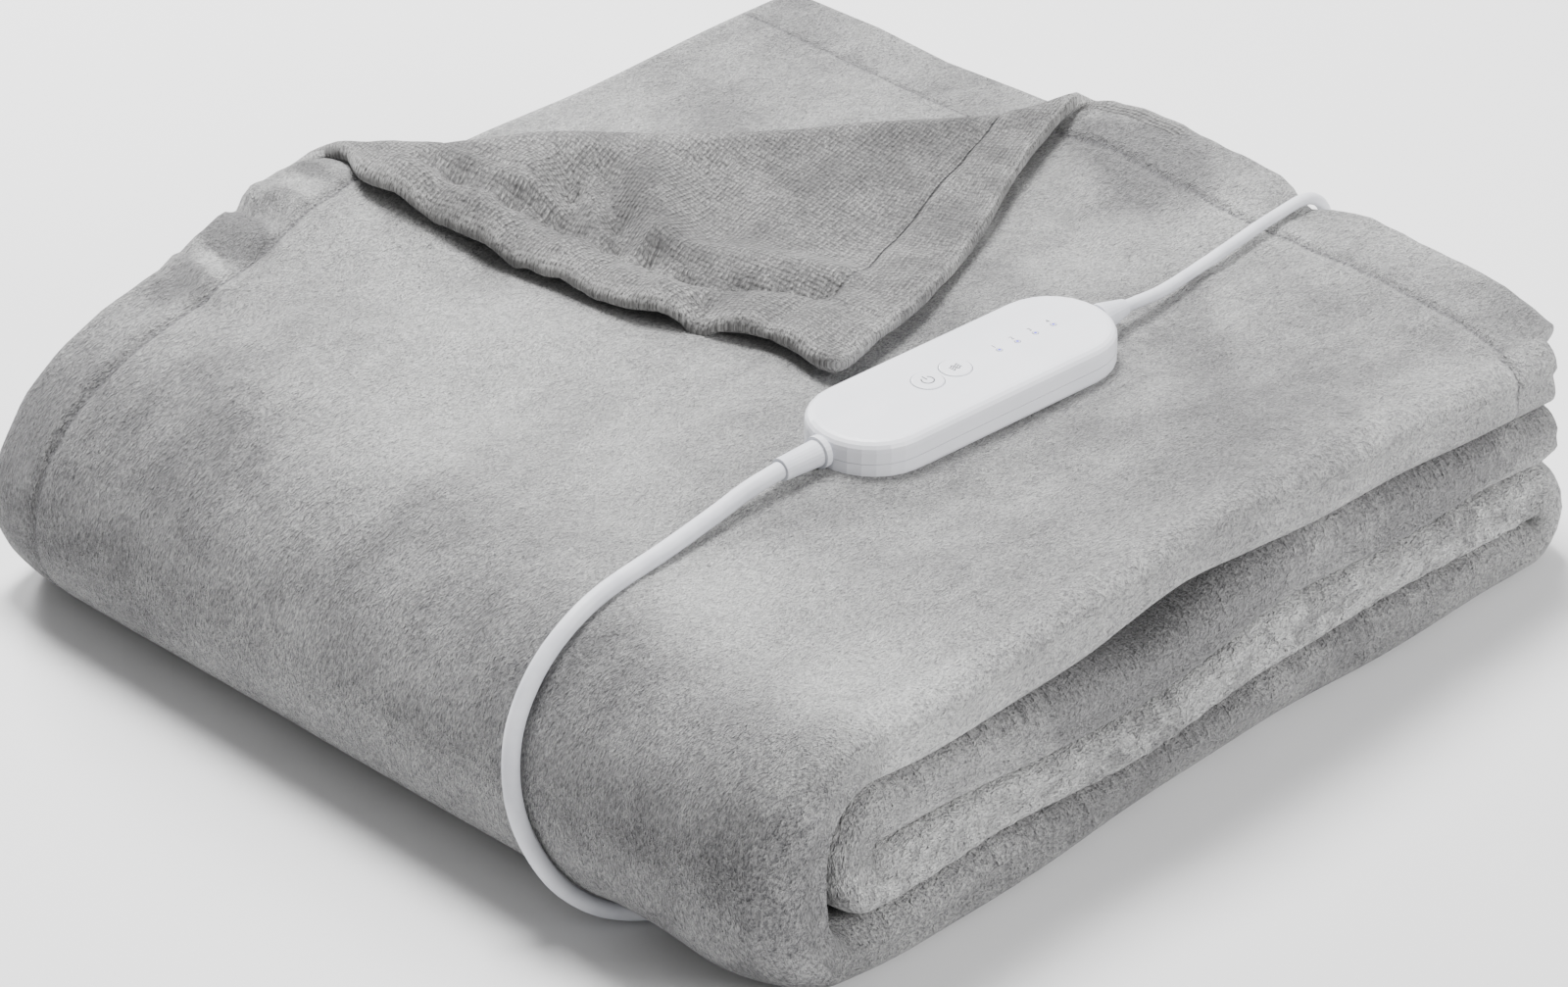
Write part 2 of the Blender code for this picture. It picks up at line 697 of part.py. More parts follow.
def make_reliefs(home):
    """The strain reliefs at both ends of the control."""
    smooth(from_bmesh(turned(MAINS_RELIEF), "mains_relief", "cord_jacket", home, relief_place(-1)))
    smooth(from_bmesh(turned(LEAD_RELIEF), "lead_relief", "cord_jacket", home, relief_place(1)))


def smooth_points(route, step):
    """Points a step apart along a smooth curve through a route in mm."""
    knots = [Vector(p) * MM for p in route]
    padded = [knots[0] * 2 - knots[1], *knots, knots[-1] * 2 - knots[-2]]
    fine = []
    for before, start, end, after in zip(padded, padded[1:], padded[2:], padded[3:]):
        g = [max((b - a).length, 1e-6) ** 0.5 for a, b in ((before, start), (start, end), (end, after))]
        out = (start - before) / g[0] - (end - before) / (g[0] + g[1]) + (end - start) / g[1]
        into = (end - start) / g[1] - (after - start) / (g[1] + g[2]) + (after - end) / g[2]
        for i in range(12):
            u = i / 12
            fine.append(
                start * (2 * u**3 - 3 * u**2 + 1)
                + out * (u**3 - 2 * u**2 + u) * g[1]
                + end * (3 * u**2 - 2 * u**3)
                + into * (u**3 - u**2) * g[1]
            )
    fine.append(knots[-1])
    lengths = np.cumsum([0.0] + [(b - a).length for a, b in zip(fine, fine[1:])])
    count = max(int(round(lengths[-1] / step)), 2)
    stops = np.linspace(0.0, lengths[-1], count + 1)
    places = [np.interp(stops, lengths, [p[axis] for p in fine]) for axis in range(3)]
    return [Vector(place) for place in zip(*places)]


def tube(name, route, radius, home):
    """A cord's tube along a route."""
    points = smooth_points(route, TUBE_STEP_DIAMETERS * 2 * radius)
    data = bpy.data.curves.new(name, "CURVE")
    data.dimensions = "3D"
    data.bevel_depth = radius
    data.bevel_resolution = 2
    data.use_fill_caps = True
    spline = data.splines.new("POLY")
    spline.points.add(len(points) - 1)
    for point, place in zip(spline.points, points):
        point.co = (*place, 1.0)
    data.materials.append(material("cord_jacket"))
    made = bpy.data.objects.new(name, data)
    home.objects.link(made)
    return made


def relief_exit(way, profile):
    """Where a cord leaves its relief, in mm."""
    reach = CONTROL_LENGTH / 2 + GAP + CORD_GAP + profile[-1][0] * MM
    return tuple(control_place() @ Vector((0, way * reach, CORD_HEIGHT)) / MM)


def make_cords(home):
    """Both leads and the tail of the mains lead."""
    tube("mains_lead", (relief_exit(-1, MAINS_RELIEF), *MAINS_ROUTE), MAINS_RADIUS, home)
    tube("mains_tail", TAIL_ROUTE, MAINS_RADIUS, home)
    lead_end = (LEAD_PLUG_AT.x + CORD_GAP) / MM, LEAD_PLUG_AT.y / MM, LEAD_PLUG_AT.z / MM
    tube("blanket_lead", (relief_exit(1, LEAD_RELIEF), *LEAD_ROUTE, lead_end), LEAD_RADIUS, home)


def make_socket(home):
    """The lead's connector and the socket on the blanket's hem."""
    towards = Matrix.Rotation(-pi / 2, 4, "Y")
    there = Matrix.Translation(LEAD_PLUG_AT) @ towards
    smooth(from_bmesh(turned(LEAD_PLUG, 20), "lead_plug", "white_plastic", home, there))
    end = LEAD_PLUG_AT.x - LEAD_PLUG[-1][0] * MM - GAP
    middle = Vector((end - SOCKET_SIZE.x / 2, SOCKET_BACK + SOCKET_SIZE.y / 2, LEAD_PLUG_AT.z))
    place = Matrix.Translation(middle)
    socket = from_bmesh(box(SOCKET_SIZE), "blanket_socket", "white_plastic", home, place)
    rounded = socket.modifiers.new("rounded", "BEVEL")
    rounded.width = 1.5 * MM
    rounded.segments = 2


def make_coil(home, cutters):
    """The put-away turns of the mains lead, and the tie round them."""
    mesh = bmesh.new()
    verts = [mesh.verts.new((x * MM, 0, z * MM)) for x, z in COIL_SECTION]
    for a, b in zip(verts, verts[1:] + verts[:1]):
        mesh.edges.new((a, b))
    bmesh.ops.spin(
        mesh,
        geom=mesh.verts[:] + mesh.edges[:],
        cent=(0, 0, 0),
        axis=(0, 0, 1),
        angle=2 * pi,
        steps=40,
        use_merge=True,
    )
    bmesh.ops.remove_doubles(mesh, verts=mesh.verts[:], dist=1e-5)
    bmesh.ops.recalc_face_normals(mesh, faces=mesh.faces[:])
    place = Matrix.Translation((COIL_MIDDLE.x, COIL_MIDDLE.y, COIL_BOTTOM))
    smooth(from_bmesh(mesh, "mains_coil", "cord_jacket", home, place))
    across, up = [[row[axis] * MM for row in COIL_SECTION] for axis in (0, 1)]
    hole = Vector((max(across) - min(across) + 2 * TIE_PLAY, max(up) + 2 * TIE_PLAY))
    middle = Matrix.Translation(((max(across) + min(across)) / 2, 0, max(up) / 2))
    there = place @ Matrix.Rotation(TIE_AT, 4, "Z") @ middle
    frame = box((hole.x + 2 * TIE_WALL, TIE_WIDTH, hole.y + 2 * TIE_WALL))
    tie = from_bmesh(frame, "coil_tie", "tie_rubber", home, there)
    cut(tie, box((hole.x, TIE_WIDTH + 4 * MM, hole.y)), "tie_hole", cutters, there)


def make_plug(home):
    """The mains plug with its relief and two pins."""
    along = Matrix.Translation(PLUG_AT) @ Matrix.Rotation(pi, 4, "Z")
    towards = along @ Matrix.Rotation(pi / 2, 4, "Y")
    smooth(from_bmesh(turned(PLUG_RELIEF), "plug_relief", "cord_jacket", home, towards))
    outline = [Vector((x, y)) * MM for x, y in PLUG_OUTLINE]
    outline += [Vector((x, -y)) * MM for x, y in reversed(PLUG_OUTLINE)]
    body = plate(outline[::-1], -PLUG_TALL / 2, PLUG_TALL / 2)
    plug = from_bmesh(body, "mains_plug", "white_plastic", home, along)
    rounded = plug.modifiers.new("rounded", "BEVEL")
    rounded.width = 2.0 * MM
    rounded.segments = 2
    for i, side in enumerate((1, -1)):
        pin = cylinder(PIN_RADIUS, 0.0, PIN_LENGTH, sides=20, rim=0.8 * MM)
        start = Vector((PLUG_OUTLINE[-1][0] * MM + GAP, side * PIN_APART / 2, 0))
        there = along @ Matrix.Translation(start) @ Matrix.Rotation(pi / 2, 4, "Y")
        smooth(from_bmesh(pin, f"plug_pin_{i + 1}", "pin_metal", home, there))


def main():
    """Builds every piece of the heated blanket."""
    for old in list(bpy.data.objects):
        bpy.data.objects.remove(old, do_unlink=True)
    home = new_collection("heated_blanket")
    cutters = new_collection("cutters")
    from_bmesh(blanket_mesh(), "blanket", "plush", home)
    make_control(home, cutters)
    make_reliefs(home)
    make_cords(home)
    make_socket(home)
    make_coil(home, cutters)
    make_plug(home)
    origin = bpy.data.objects.new("heated_blanket_origin", None)
    home.objects.link(origin)
    origin.location = TO_ORIGIN
    for piece in (*home.objects, *cutters.objects):
        if piece is not origin:
            piece.parent = origin


main()
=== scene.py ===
"""Looks of the electric heated blanket: the folded plush throw, its hand control and its leads.

Sizes are in millimetres in the tables and in metres in the scene.  The throw lies in the same place as
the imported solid: -Y is the rounded front, +X the side of the folded plies, -X the side of the long hem.
"""

import logging
import math
from dataclasses import dataclass, field
from enum import Enum
from functools import reduce
from typing import Iterable, Sequence

import bpy
import numpy as np
from mathutils import Matrix, Vector

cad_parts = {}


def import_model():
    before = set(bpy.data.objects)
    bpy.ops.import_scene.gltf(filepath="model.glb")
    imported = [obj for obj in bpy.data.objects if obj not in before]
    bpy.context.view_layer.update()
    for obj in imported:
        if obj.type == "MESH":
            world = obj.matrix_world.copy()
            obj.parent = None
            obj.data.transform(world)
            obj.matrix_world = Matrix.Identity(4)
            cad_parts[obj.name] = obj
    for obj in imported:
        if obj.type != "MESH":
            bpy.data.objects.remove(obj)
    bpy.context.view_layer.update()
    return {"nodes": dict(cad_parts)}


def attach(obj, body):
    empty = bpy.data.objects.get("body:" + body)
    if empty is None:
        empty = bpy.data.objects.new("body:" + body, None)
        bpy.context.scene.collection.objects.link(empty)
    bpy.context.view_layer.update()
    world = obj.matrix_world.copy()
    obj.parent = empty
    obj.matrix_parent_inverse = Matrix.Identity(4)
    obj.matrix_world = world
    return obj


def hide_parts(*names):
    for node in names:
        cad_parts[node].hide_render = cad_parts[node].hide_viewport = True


MM = 0.001
MAINS_RELIEF, LEAD_RELIEF = 21.0, 14.0  # mm, lengths of the two strain reliefs
TO_ORIGIN = np.array((0.4, 3.7, 0.0))  # mm, puts the origin under the middle of the stack's box
THROW, POWER, HEAT = "throw", "key_power", "key_heat"  # the bodies that pieces ride on
LOG = logging.getLogger("heated_blanket")
Array = np.ndarray
Material, Object, Socket = bpy.types.Material, bpy.types.Object, bpy.types.NodeSocket


# ---------------------------------------------------------------- small helpers
def smoothstep(value: Array, low: float, high: float) -> Array:
    """0 below low, 1 above high, and smooth between them."""
    t = np.clip((value - low) / (high - low), 0.0, 1.0)
    return t * t * (3.0 - 2.0 * t)


def bell(value: Array, middle: float, width: float) -> Array:
    """1 at the middle, falling to about a third at the width."""
    return np.exp(-(((value - middle) / width) ** 2))


def spaced(stops: Sequence[float], steps: Sequence[int]) -> Array:
    """Numbers from the first stop to the last, with so many even steps between each two stops."""
    parts = [np.linspace(a, b, n, endpoint=False) for a, b, n in zip(stops, stops[1:], steps)]
    return np.concatenate([*parts, [stops[-1]]])


def through(table: Sequence[Sequence[float]], at: Array) -> Array:
    """A smooth curve through a table of stops and values, which stays level past its ends."""
    stops, values = (np.array(column, dtype=float) for column in zip(*table))
    gap = np.diff(stops)
    slope = np.diff(values) / gap
    turn = np.zeros_like(values)
    same = slope[:-1] * slope[1:] > 0
    turn[1:-1][same] = 2 * (slope[:-1] * slope[1:])[same] / (slope[:-1] + slope[1:])[same]
    at = np.clip(np.asarray(at, dtype=float), stops[0], stops[-1])
    k = np.clip(np.searchsorted(stops, at, side="right") - 1, 0, len(gap) - 1)
    u = (at - stops[k]) / gap[k]
    rise = values[k] * (2 * u**3 - 3 * u**2 + 1) + values[k + 1] * (3 * u**2 - 2 * u**3)
    return rise + gap[k] * (turn[k] * (u**3 - 2 * u**2 + u) + turn[k + 1] * (u**3 - u**2))


@dataclass(frozen=True)
class Ripple:
    """One wave of a slow unevenness: length and height in mm, direction in degrees, phase in turns."""

    length: float
    height: float
    towards: float
    phase: float

    def at(self, x: Array, y: Array) -> Array:
        """Height of the wave at places in mm."""
        a = math.radians(self.towards)
        run = (x * math.cos(a) + y * math.sin(a)) / self.length + self.phase
        return self.height * np.sin(2 * math.pi * run)


def rippled(ripples: Iterable[Ripple], x: Array, y: Array) -> Array:
    """The sum of several waves."""
    return sum(ripple.at(x, y) for ripple in ripples)


@dataclass(frozen=True)
class Wrinkle:
    """A soft fold line between two flat places of the cloth, in mm: its width, and its height or depth."""

    start: tuple
    end: tuple
    width: float
    height: float

    def at(self, side: Array, end: Array) -> Array:
        """Height of the fold at flat places: distances from the long hem and from the end hem."""
        (ax, ay), (bx, by) = self.start, self.end
        long = (bx - ax) ** 2 + (by - ay) ** 2
        share = np.clip(((side - ax) * (bx - ax) + (end - ay) * (by - ay)) / long, 0, 1)
        off = np.hypot(side - ax - share * (bx - ax), end - ay - share * (by - ay))
        return self.height * np.exp(-((off / self.width) ** 2))


def linked(name: str, data: bpy.types.ID) -> Object:
    """A new object in the scene, of given data."""
    made = bpy.data.objects.new(name, data)
    bpy.context.scene.collection.objects.link(made)
    return made


def mesh_object(name: str, points: Array, faces: Sequence, body: str) -> Object:
    """A mesh object that rides on a body.

    Args:
        name: The piece's name.
        points: Its points in metres.
        faces: Index tuples, one a face.
        body: The body that it moves with.

    Returns:
        The new object, shaded smooth.
    """
    data = bpy.data.meshes.new(name)
    data.from_pydata([tuple(p) for p in points], [], [tuple(f) for f in faces])
    data.validate()
    data.update()
    data.shade_smooth()
    made = linked(name, data)
    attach(made, body)
    return made


# ---------------------------------------------------------------- materials
class Space(Enum):
    """Where a pattern takes its coordinates from."""

    OBJECT = "Object"
    CLOTH = "UV"
    PIECE = "Generated"


class Graph:
    """Builds the node tree of one material."""

    def __init__(self, name: str) -> None:
        """Makes the material with an empty tree but its shader and output."""
        self.material = bpy.data.materials.new(name)
        self.material.use_nodes = True
        self.tree = self.material.node_tree
        self.shader = self.tree.nodes["Principled BSDF"]
        self.coordinates = self.tree.nodes.new("ShaderNodeTexCoord")

    def constant(self, **values: object) -> None:
        """Sets constants on the shader's own sockets; an underscore stands for a space."""
        for key, value in values.items():
            socket = self.shader.inputs[key.replace("_", " ")]
            socket.default_value = (*value, 1.0) if isinstance(value, tuple) else value

    def drive(self, socket: str, source: Socket) -> None:
        """Links a pattern to one of the shader's sockets."""
        self.tree.links.new(source, self.shader.inputs[socket])

    def node(self, kind: str, inputs: dict, **settings: object) -> bpy.types.Node:
        """A new node.

        Args:
            kind: Its type, without the words that all shader nodes start with.
            inputs: A number, a vector or another node's socket for each input, by its name or place.
            settings: The node's own settings.

        Returns:
            The node.
        """
        made = self.tree.nodes.new(f"ShaderNode{kind}")
        for key, value in settings.items():
            setattr(made, key, value)
        for key, value in inputs.items():
            if isinstance(value, Socket):
                self.tree.links.new(value, made.inputs[key])
            else:
                made.inputs[key].default_value = value
        return made

    def mapped(self, where: Socket, scale: Sequence[float], turn: float = 0.0) -> Socket:
        """Given coordinates, stretched by a scale and turned about Z by degrees."""
        inputs = {"Vector": where, "Scale": scale, "Rotation": (0, 0, math.radians(turn))}
        return self.node("Mapping", inputs).outputs["Vector"]

    def place(self, space: Space, scale: Sequence[float] = (1, 1, 1), turn: float = 0.0) -> Socket:
        """A space's coordinates, stretched by a scale and turned about Z by degrees."""
        return self.mapped(self.coordinates.outputs[space.value], scale, turn)

    def noise(
        self, where: Socket, scale: float, detail: float = 2.0, rough: float = 0.5, twist: float = 0.0
    ) -> Socket:
        """A noise pattern between 0 and 1."""
        inputs = {"Vector": where, "Scale": scale, "Detail": detail, "Roughness": rough, "Distortion": twist}
        return self.node("TexNoise", inputs).outputs["Fac"]

    def pattern(self, space: Space, stretch: Sequence[float], turn: float, *noise: float) -> Socket:
        """A noise pattern in a space that is stretched and turned."""
        return self.noise(self.place(space, stretch, turn), *noise)

    def cells(self, where: Socket, scatter: float) -> Socket:
        """Distance to the nearest of a grid's points, scattered by up to a share of its pitch."""
        inputs = {"Vector": where, "Scale": 1.0, "Randomness": scatter}
        return self.node("TexVoronoi", inputs).outputs["Distance"]

    def ribs(self, where: Socket, axis: str, scale: float, twist: float) -> Socket:
        """Straight ribs across an axis, a little disturbed."""
        inputs = {"Vector": where, "Scale": scale, "Distortion": twist, "Detail": 2.0, "Detail Scale": 1.4}
        return self.node("TexWave", inputs, bands_direction=axis).outputs["Fac"]

    def warped(self, where: Socket, scale: float, amount: float) -> Socket:
        """Coordinates pushed about by a slow noise, up to half the amount each way."""
        noise = self.node("TexNoise", {"Vector": where, "Scale": scale, "Detail": 3.0}).outputs["Color"]
        push = {0: noise, 1: (amount, amount, 0.0), 2: where}
        pushed = self.node("VectorMath", push, operation="MULTIPLY_ADD").outputs[0]
        back = {0: pushed, 1: (-amount / 2, -amount / 2, 0.0)}
        return self.node("VectorMath", back, operation="ADD").outputs[0]

    def patch(self, where: Socket, patch: "Patch") -> Socket:
        """An oval's shade, strongest in its middle and 0 outside."""
        inputs = {
            "Vector": where,
            "Location": (patch.side, patch.end, 0),
            "Rotation": (0, 0, math.radians(patch.turn)),
            "Scale": (patch.long, patch.wide, 1),
        }
        oval = self.node("Mapping", inputs, vector_type="TEXTURE").outputs["Vector"]
        ball = self.node("TexGradient", {"Vector": oval}, gradient_type="SPHERICAL").outputs["Fac"]
        return self.span(ball, 0.0, 0.75, 0.0, patch.shade)

    def split(self, where: Socket) -> list[Socket]:
        """The X, Y and Z of coordinates."""
        return list(self.node("SeparateXYZ", {0: where}).outputs)

    def sum(self, kind: str, *terms: object, clamp: bool = False) -> Socket:
        """A math node of a kind, over sockets or numbers."""
        return self.node("Math", dict(enumerate(terms)), operation=kind, use_clamp=clamp).outputs[0]

    def times(self, first: object, last: object) -> Socket:
        """The product of two sockets or numbers."""
        return self.sum("MULTIPLY", first, last)

    def plus(self, first: object, last: object, clamp: bool = False) -> Socket:
        """The sum of two sockets or numbers, kept between 0 and 1 if it is clamped."""
        return self.sum("ADD", first, last, clamp=clamp)

    def less(self, first: object, last: object) -> Socket:
        """The first socket or number less the last."""
        return self.sum("SUBTRACT", first, last)

    def mixture(self, *parts: tuple[Socket, float]) -> Socket:
        """The sum of patterns, each by its weight."""
        return reduce(self.plus, [self.times(source, weight) for source, weight in parts])

    def span(self, source: Socket, low: float, high: float, first: float, last: float) -> Socket:
        """Maps low..high to first..last, smoothly and clamped."""
        inputs = {"Value": source, "From Min": low, "From Max": high, "To Min": first, "To Max": last}
        return self.node("MapRange", inputs, interpolation_type="SMOOTHSTEP").outputs["Result"]

    def band(self, source: Socket, rises: tuple, falls: tuple, beyond: float = 0.0) -> Socket:
        """Rises from 0 to 1 over one stretch and falls to what is beyond over another."""
        return self.times(self.span(source, *rises, 0.0, 1.0), self.span(source, *falls, 1.0, beyond))

    def ramp(self, source: Socket, *stops: tuple[float, tuple]) -> Socket:
        """Colours along a factor."""
        node = self.node("ValToRGB", {"Fac": source})
        elements = node.color_ramp.elements
        while len(elements) < len(stops):
            elements.new(0.5)
        for element, (position, colour) in zip(elements, stops):
            element.position = position
            element.color = (*colour, 1.0)
        return node.outputs["Color"]

    def blended(self, factor: object, first: object, last: object, kind: str = "MIX") -> Socket:
        """Two colours mixed by a factor."""
        first, last = ((*colour, 1.0) if isinstance(colour, tuple) else colour for colour in (first, last))
        inputs = {0: factor, 6: first, 7: last}
        return self.node("Mix", inputs, data_type="RGBA", blend_type=kind).outputs[2]

    def relief(self, *layers: tuple[Socket, float, float]) -> None:
        """Drives the normal by bumps over one another, each a height pattern, its strength and its depth."""
        below = {}
        for height, strength, depth in layers:
            inputs = {"Strength": strength, "Distance": depth, "Height": height, **below}
            below = {"Normal": self.node("Bump", inputs).outputs["Normal"]}
        self.drive("Normal", below["Normal"])


@dataclass(frozen=True)
class Patch:
    """An oval made lighter or darker, some for nap that lies over and most for painted light and shade: place and half
    sizes on the flat sheet in m, turn in degrees.
    """

    side: float
    end: float
    long: float
    wide: float
    turn: float
    shade: float


# the places of the plush patches, in the order of the fields of Patch: some are nap that lies over, most are painted
# light and shade
NAP_AND_PAINTED_LIGHT_PATCHES = (
    # painted light: the front of the top and the upper belly of the wrapped front made lighter
    (0.17, 0.33, 0.17, 0.10, 0.0, 0.30), (0.37, 0.37, 0.13, 0.07, 8.0, 0.34), (0.25, 0.36, 0.06, 0.03, 20.0, 0.18),
    # painted shade down the wrapped front, at its left end and beside the cord
    (0.08, 0.46, 0.15, 0.06, -8.0, -0.34), (0.29, 0.445, 0.08, 0.045, 0.0, -0.36),
    # painted shade at the foot of the wrapped front, and a painted shadow where the turned corner's crest meets the end
    # hem
    (0.42, 0.50, 0.14, 0.07, 0.0, -0.42), (0.232, 0.038, 0.058, 0.032, 30.0, -0.65),
    # lighter and darker nap at the back right, with the first oval of the next line
    (0.30, 0.035, 0.04, 0.015, 0.0, 0.30), (0.38, 0.13, 0.17, 0.13, 0.0, -0.20),
    # the second oval here and the two lines below are painted light and shade on the long hem's small folds near the
    # front
    (0.33, 0.085, 0.03, 0.012, 40.0, 0.30), (0.014, 0.360, 0.026, 0.019, 0.0, -1.1),
    (0.018, 0.379, 0.024, 0.007, 20.0, 0.7), (0.018, 0.394, 0.020, 0.014, 0.0, -0.4),
    (0.020, 0.318, 0.016, 0.012, 0.0, 0.5), (0.012, 0.305, 0.016, 0.010, 0.0, -0.5),
    # an oval on the inner ply; then the side of the folded plies: the top roll's side painted a little lighter, the
    # bottom and second levels' sides painted darker as shade under the rolls above them, a painted shadow in the gap
    # under the top roll, and the third level's side painted lighter
    (0.95, 0.20, 0.14, 0.06, 30.0, 0.35), (0.44, 0.30, 0.05, 0.20, 0.0, 0.10), (0.45, 1.62, 0.05, 0.30, 0.0, -0.34),
    (0.45, 1.16, 0.05, 0.30, 0.0, 0.34), (0.44, 0.80, 0.07, 0.32, 0.0, -0.30), (0.44, 1.56, 0.05, 0.075, 0.0, -0.7),
    (0.44, 1.72, 0.05, 0.05, 0.0, -0.35),
)  # fmt: skip


@dataclass(frozen=True)
class PlushFinish:
    """Brushed flannel plush: cloudy patches where the nap lies over, painted light and shade on the wrapped front, the
    long hem and the side of the plies, and a fine mottled pile.
    """

    name: str = "plush_face"
    darkest: tuple = (0.31, 0.308, 0.306)
    middle: tuple = (0.54, 0.538, 0.528)
    lit: tuple = (0.76, 0.76, 0.742)
    deep: tuple = (0.16, 0.158, 0.165)
    sheen: float = 0.3
    stitch_at: float = 0.033  # m from a cut edge
    stitch_half: float = 0.0009
    groove_half: float = 0.0032
    small_patch: float = 0.03  # m, the longest that takes the finer wander of its outline
    width: float = 1.30
    # ovals of nap and of painted light and shade
    patches: tuple = tuple(Patch(*row) for row in NAP_AND_PAINTED_LIGHT_PATCHES)

    def edge_distance(self, graph: Graph) -> tuple:
        """Distance to the nearest of the sheet's edges along each axis, in metres."""
        u, v, _ = graph.split(graph.warped(graph.place(Space.CLOTH), 34.0, 0.0035))
        from_side = graph.sum("MINIMUM", u, graph.less(self.width, u))
        return from_side, v

    def off_stitch(self, graph: Graph, distance: Socket) -> Socket:
        """Distance from the hem's stitching."""
        return graph.sum("ABSOLUTE", graph.less(distance, self.stitch_at))

    def stitch(self, graph: Graph, half: float) -> Socket:
        """1 in the line of the hem's stitching, else 0."""
        lines = [graph.span(self.off_stitch(graph, d), 0.0, half, 1.0, 0.0) for d in self.edge_distance(graph)]
        return graph.sum("MAXIMUM", *lines)

    def dashes(self, graph: Graph) -> Socket:
        """1 on each stitch of a seam and less between them."""
        u, v, _ = graph.split(graph.place(Space.CLOTH))
        along = graph.sum("SINE", graph.times(graph.plus(u, v), 2000.0))
        return graph.span(along, -0.9, 0.2, 0.35, 1.0)

    def puckers(self, graph: Graph) -> Socket:
        """Short folds of the hem between its stitching and its edge."""
        rows = []
        for distance, stretch in zip(self.edge_distance(graph), ((0.25, 1.0, 1.0), (1.0, 0.25, 1.0))):
            waves = graph.pattern(Space.CLOTH, stretch, 0.0, 62.0, 1.5, 0.45)
            rows.append(graph.times(graph.span(distance, 0.026, 0.046, 1.0, 0.0), waves))
        return graph.sum("MAXIMUM", *rows)

    def side_roll(self, graph: Graph) -> Socket:
        """1 where the cloth turns over the side of the folded plies, else 0."""
        u, v, _ = graph.split(graph.place(Space.CLOTH))
        return graph.times(graph.band(u, (0.42, 0.44), (0.48, 0.50)), graph.span(v, 0.50, 0.54, 0.0, 1.0))

    def crushed(self, graph: Graph) -> Socket:
        """1 on the crushed roll of the third level, else 0."""
        _, v, _ = graph.split(graph.warped(graph.place(Space.CLOTH), 20.0, 0.02))
        return graph.times(graph.band(v, (0.97, 0.99), (1.37, 1.39)), self.side_roll(graph))

    def upright(self, graph: Graph) -> Socket:
        """1 where the pile stands out sideways, on the wrapped front, less on the side, and 0 on top."""
        _, v, _ = graph.split(graph.place(Space.CLOTH))
        return graph.band(v, (0.38, 0.46), (0.60, 0.70), 0.35)

    def build(self) -> Material:
        """The material."""
        graph = Graph(self.name)
        cloth = graph.place(Space.CLOTH)
        clouds = graph.pattern(Space.OBJECT, (1.0, 0.8, 1.2), 30, 13.0, 3.0, 0.55, 0.35)
        patches = graph.pattern(Space.OBJECT, (1.0, 0.55, 1.0), -35, 46.0, 4.0, 0.62, 0.6)
        brushed = graph.pattern(Space.CLOTH, (1.0, 0.45, 1.0), 20, 150.0, 3.0, 0.6, 0.8)
        tufts = graph.pattern(Space.CLOTH, (1.0, 0.5, 1.0), 25, 420.0, 3.0, 0.7)
        pile = graph.pattern(Space.CLOTH, (1.0, 0.45, 1.0), 25, 1250.0, 2.0, 0.8)
        streaks = graph.pattern(Space.CLOTH, (0.22, 1.0, 1.0), 0, 260.0, 3.0, 0.65)
        crush = graph.pattern(Space.CLOTH, (1.0, 0.8, 1.0), 0, 70.0, 2.0, 0.5, 1.2)
        side, upright, crush_here = self.side_roll(graph), self.upright(graph), self.crushed(graph)
        nap = graph.span(graph.mixture((clouds, 0.5), (patches, 0.35), (brushed, 0.15)), 0.36, 0.64, 0.20, 0.80)
        wild = graph.warped(cloth, 11.0, 0.05)
        fine_wild = graph.warped(cloth, 42.0, 0.016)
        # adds the ovals: nap that lies over, and painted light and shade
        for patch in self.patches:
            nap = graph.plus(nap, graph.patch(wild if patch.long > self.small_patch else fine_wild, patch))
        # painted shade: the hem band outside the stitch line, where the hem turns down, made a little darker
        edges = [graph.span(d, self.stitch_at, self.stitch_at + 0.002, 1.0, 0.0) for d in self.edge_distance(graph)]
        nap = graph.less(nap, graph.times(graph.sum("MAXIMUM", *edges), 0.10))
        drawn = graph.times(graph.less(streaks, 0.5), graph.times(side, 0.9))
        tumbled = graph.times(graph.span(crush, 0.40, 0.60, -0.30, 0.60), crush_here)
        nap = graph.plus(graph.plus(nap, drawn), tumbled, clamp=True)
        colour = graph.ramp(nap, (0.0, self.darkest), (0.5, self.middle), (1.0, self.lit))
        shades = ((pile, (0.30, 0.70), (0.36, 0.36, 0.375), 0.80), (tufts, (0.34, 0.64), (0.72, 0.72, 0.73), 0.85))
        for source, limits, dark, least in shades:
            grey = graph.ramp(graph.span(source, *limits, 0.0, 1.0), (0.0, dark), (1.0, (1.0, 1.0, 1.0)))
            colour = graph.blended(graph.span(upright, 0.0, 1.0, least, 1.0), colour, grey, "MULTIPLY")
        thread = graph.times(self.stitch(graph, self.stitch_half), self.dashes(graph))
        colour = graph.blended(graph.times(thread, 0.9), colour, self.deep)
        # painted shade: the stitch line's sunk groove also darkened a little towards the deep colour, besides its bump
        groove = self.stitch(graph, self.groove_half)
        graph.drive("Base Color", graph.blended(graph.times(groove, 0.10), colour, self.deep))
        graph.constant(Roughness=0.92, Specular_IOR_Level=0.12, Sheen_Weight=self.sheen, Sheen_Roughness=0.35)
        graph.constant(Sheen_Tint=(0.93, 0.93, 0.95))
        graph.relief(
            (patches, 0.5, 0.006),
            (brushed, 0.5, 0.003),
            (self.puckers(graph), 0.9, 0.004),
            (graph.less(1.0, groove), 0.7, 0.0014),
            (graph.times(streaks, side), 0.8, 0.004),
            (graph.times(crush, crush_here), 0.9, 0.008),
            (tufts, 0.8, 0.0026),
            (pile, 1.0, 0.0022),
        )
        return graph.material


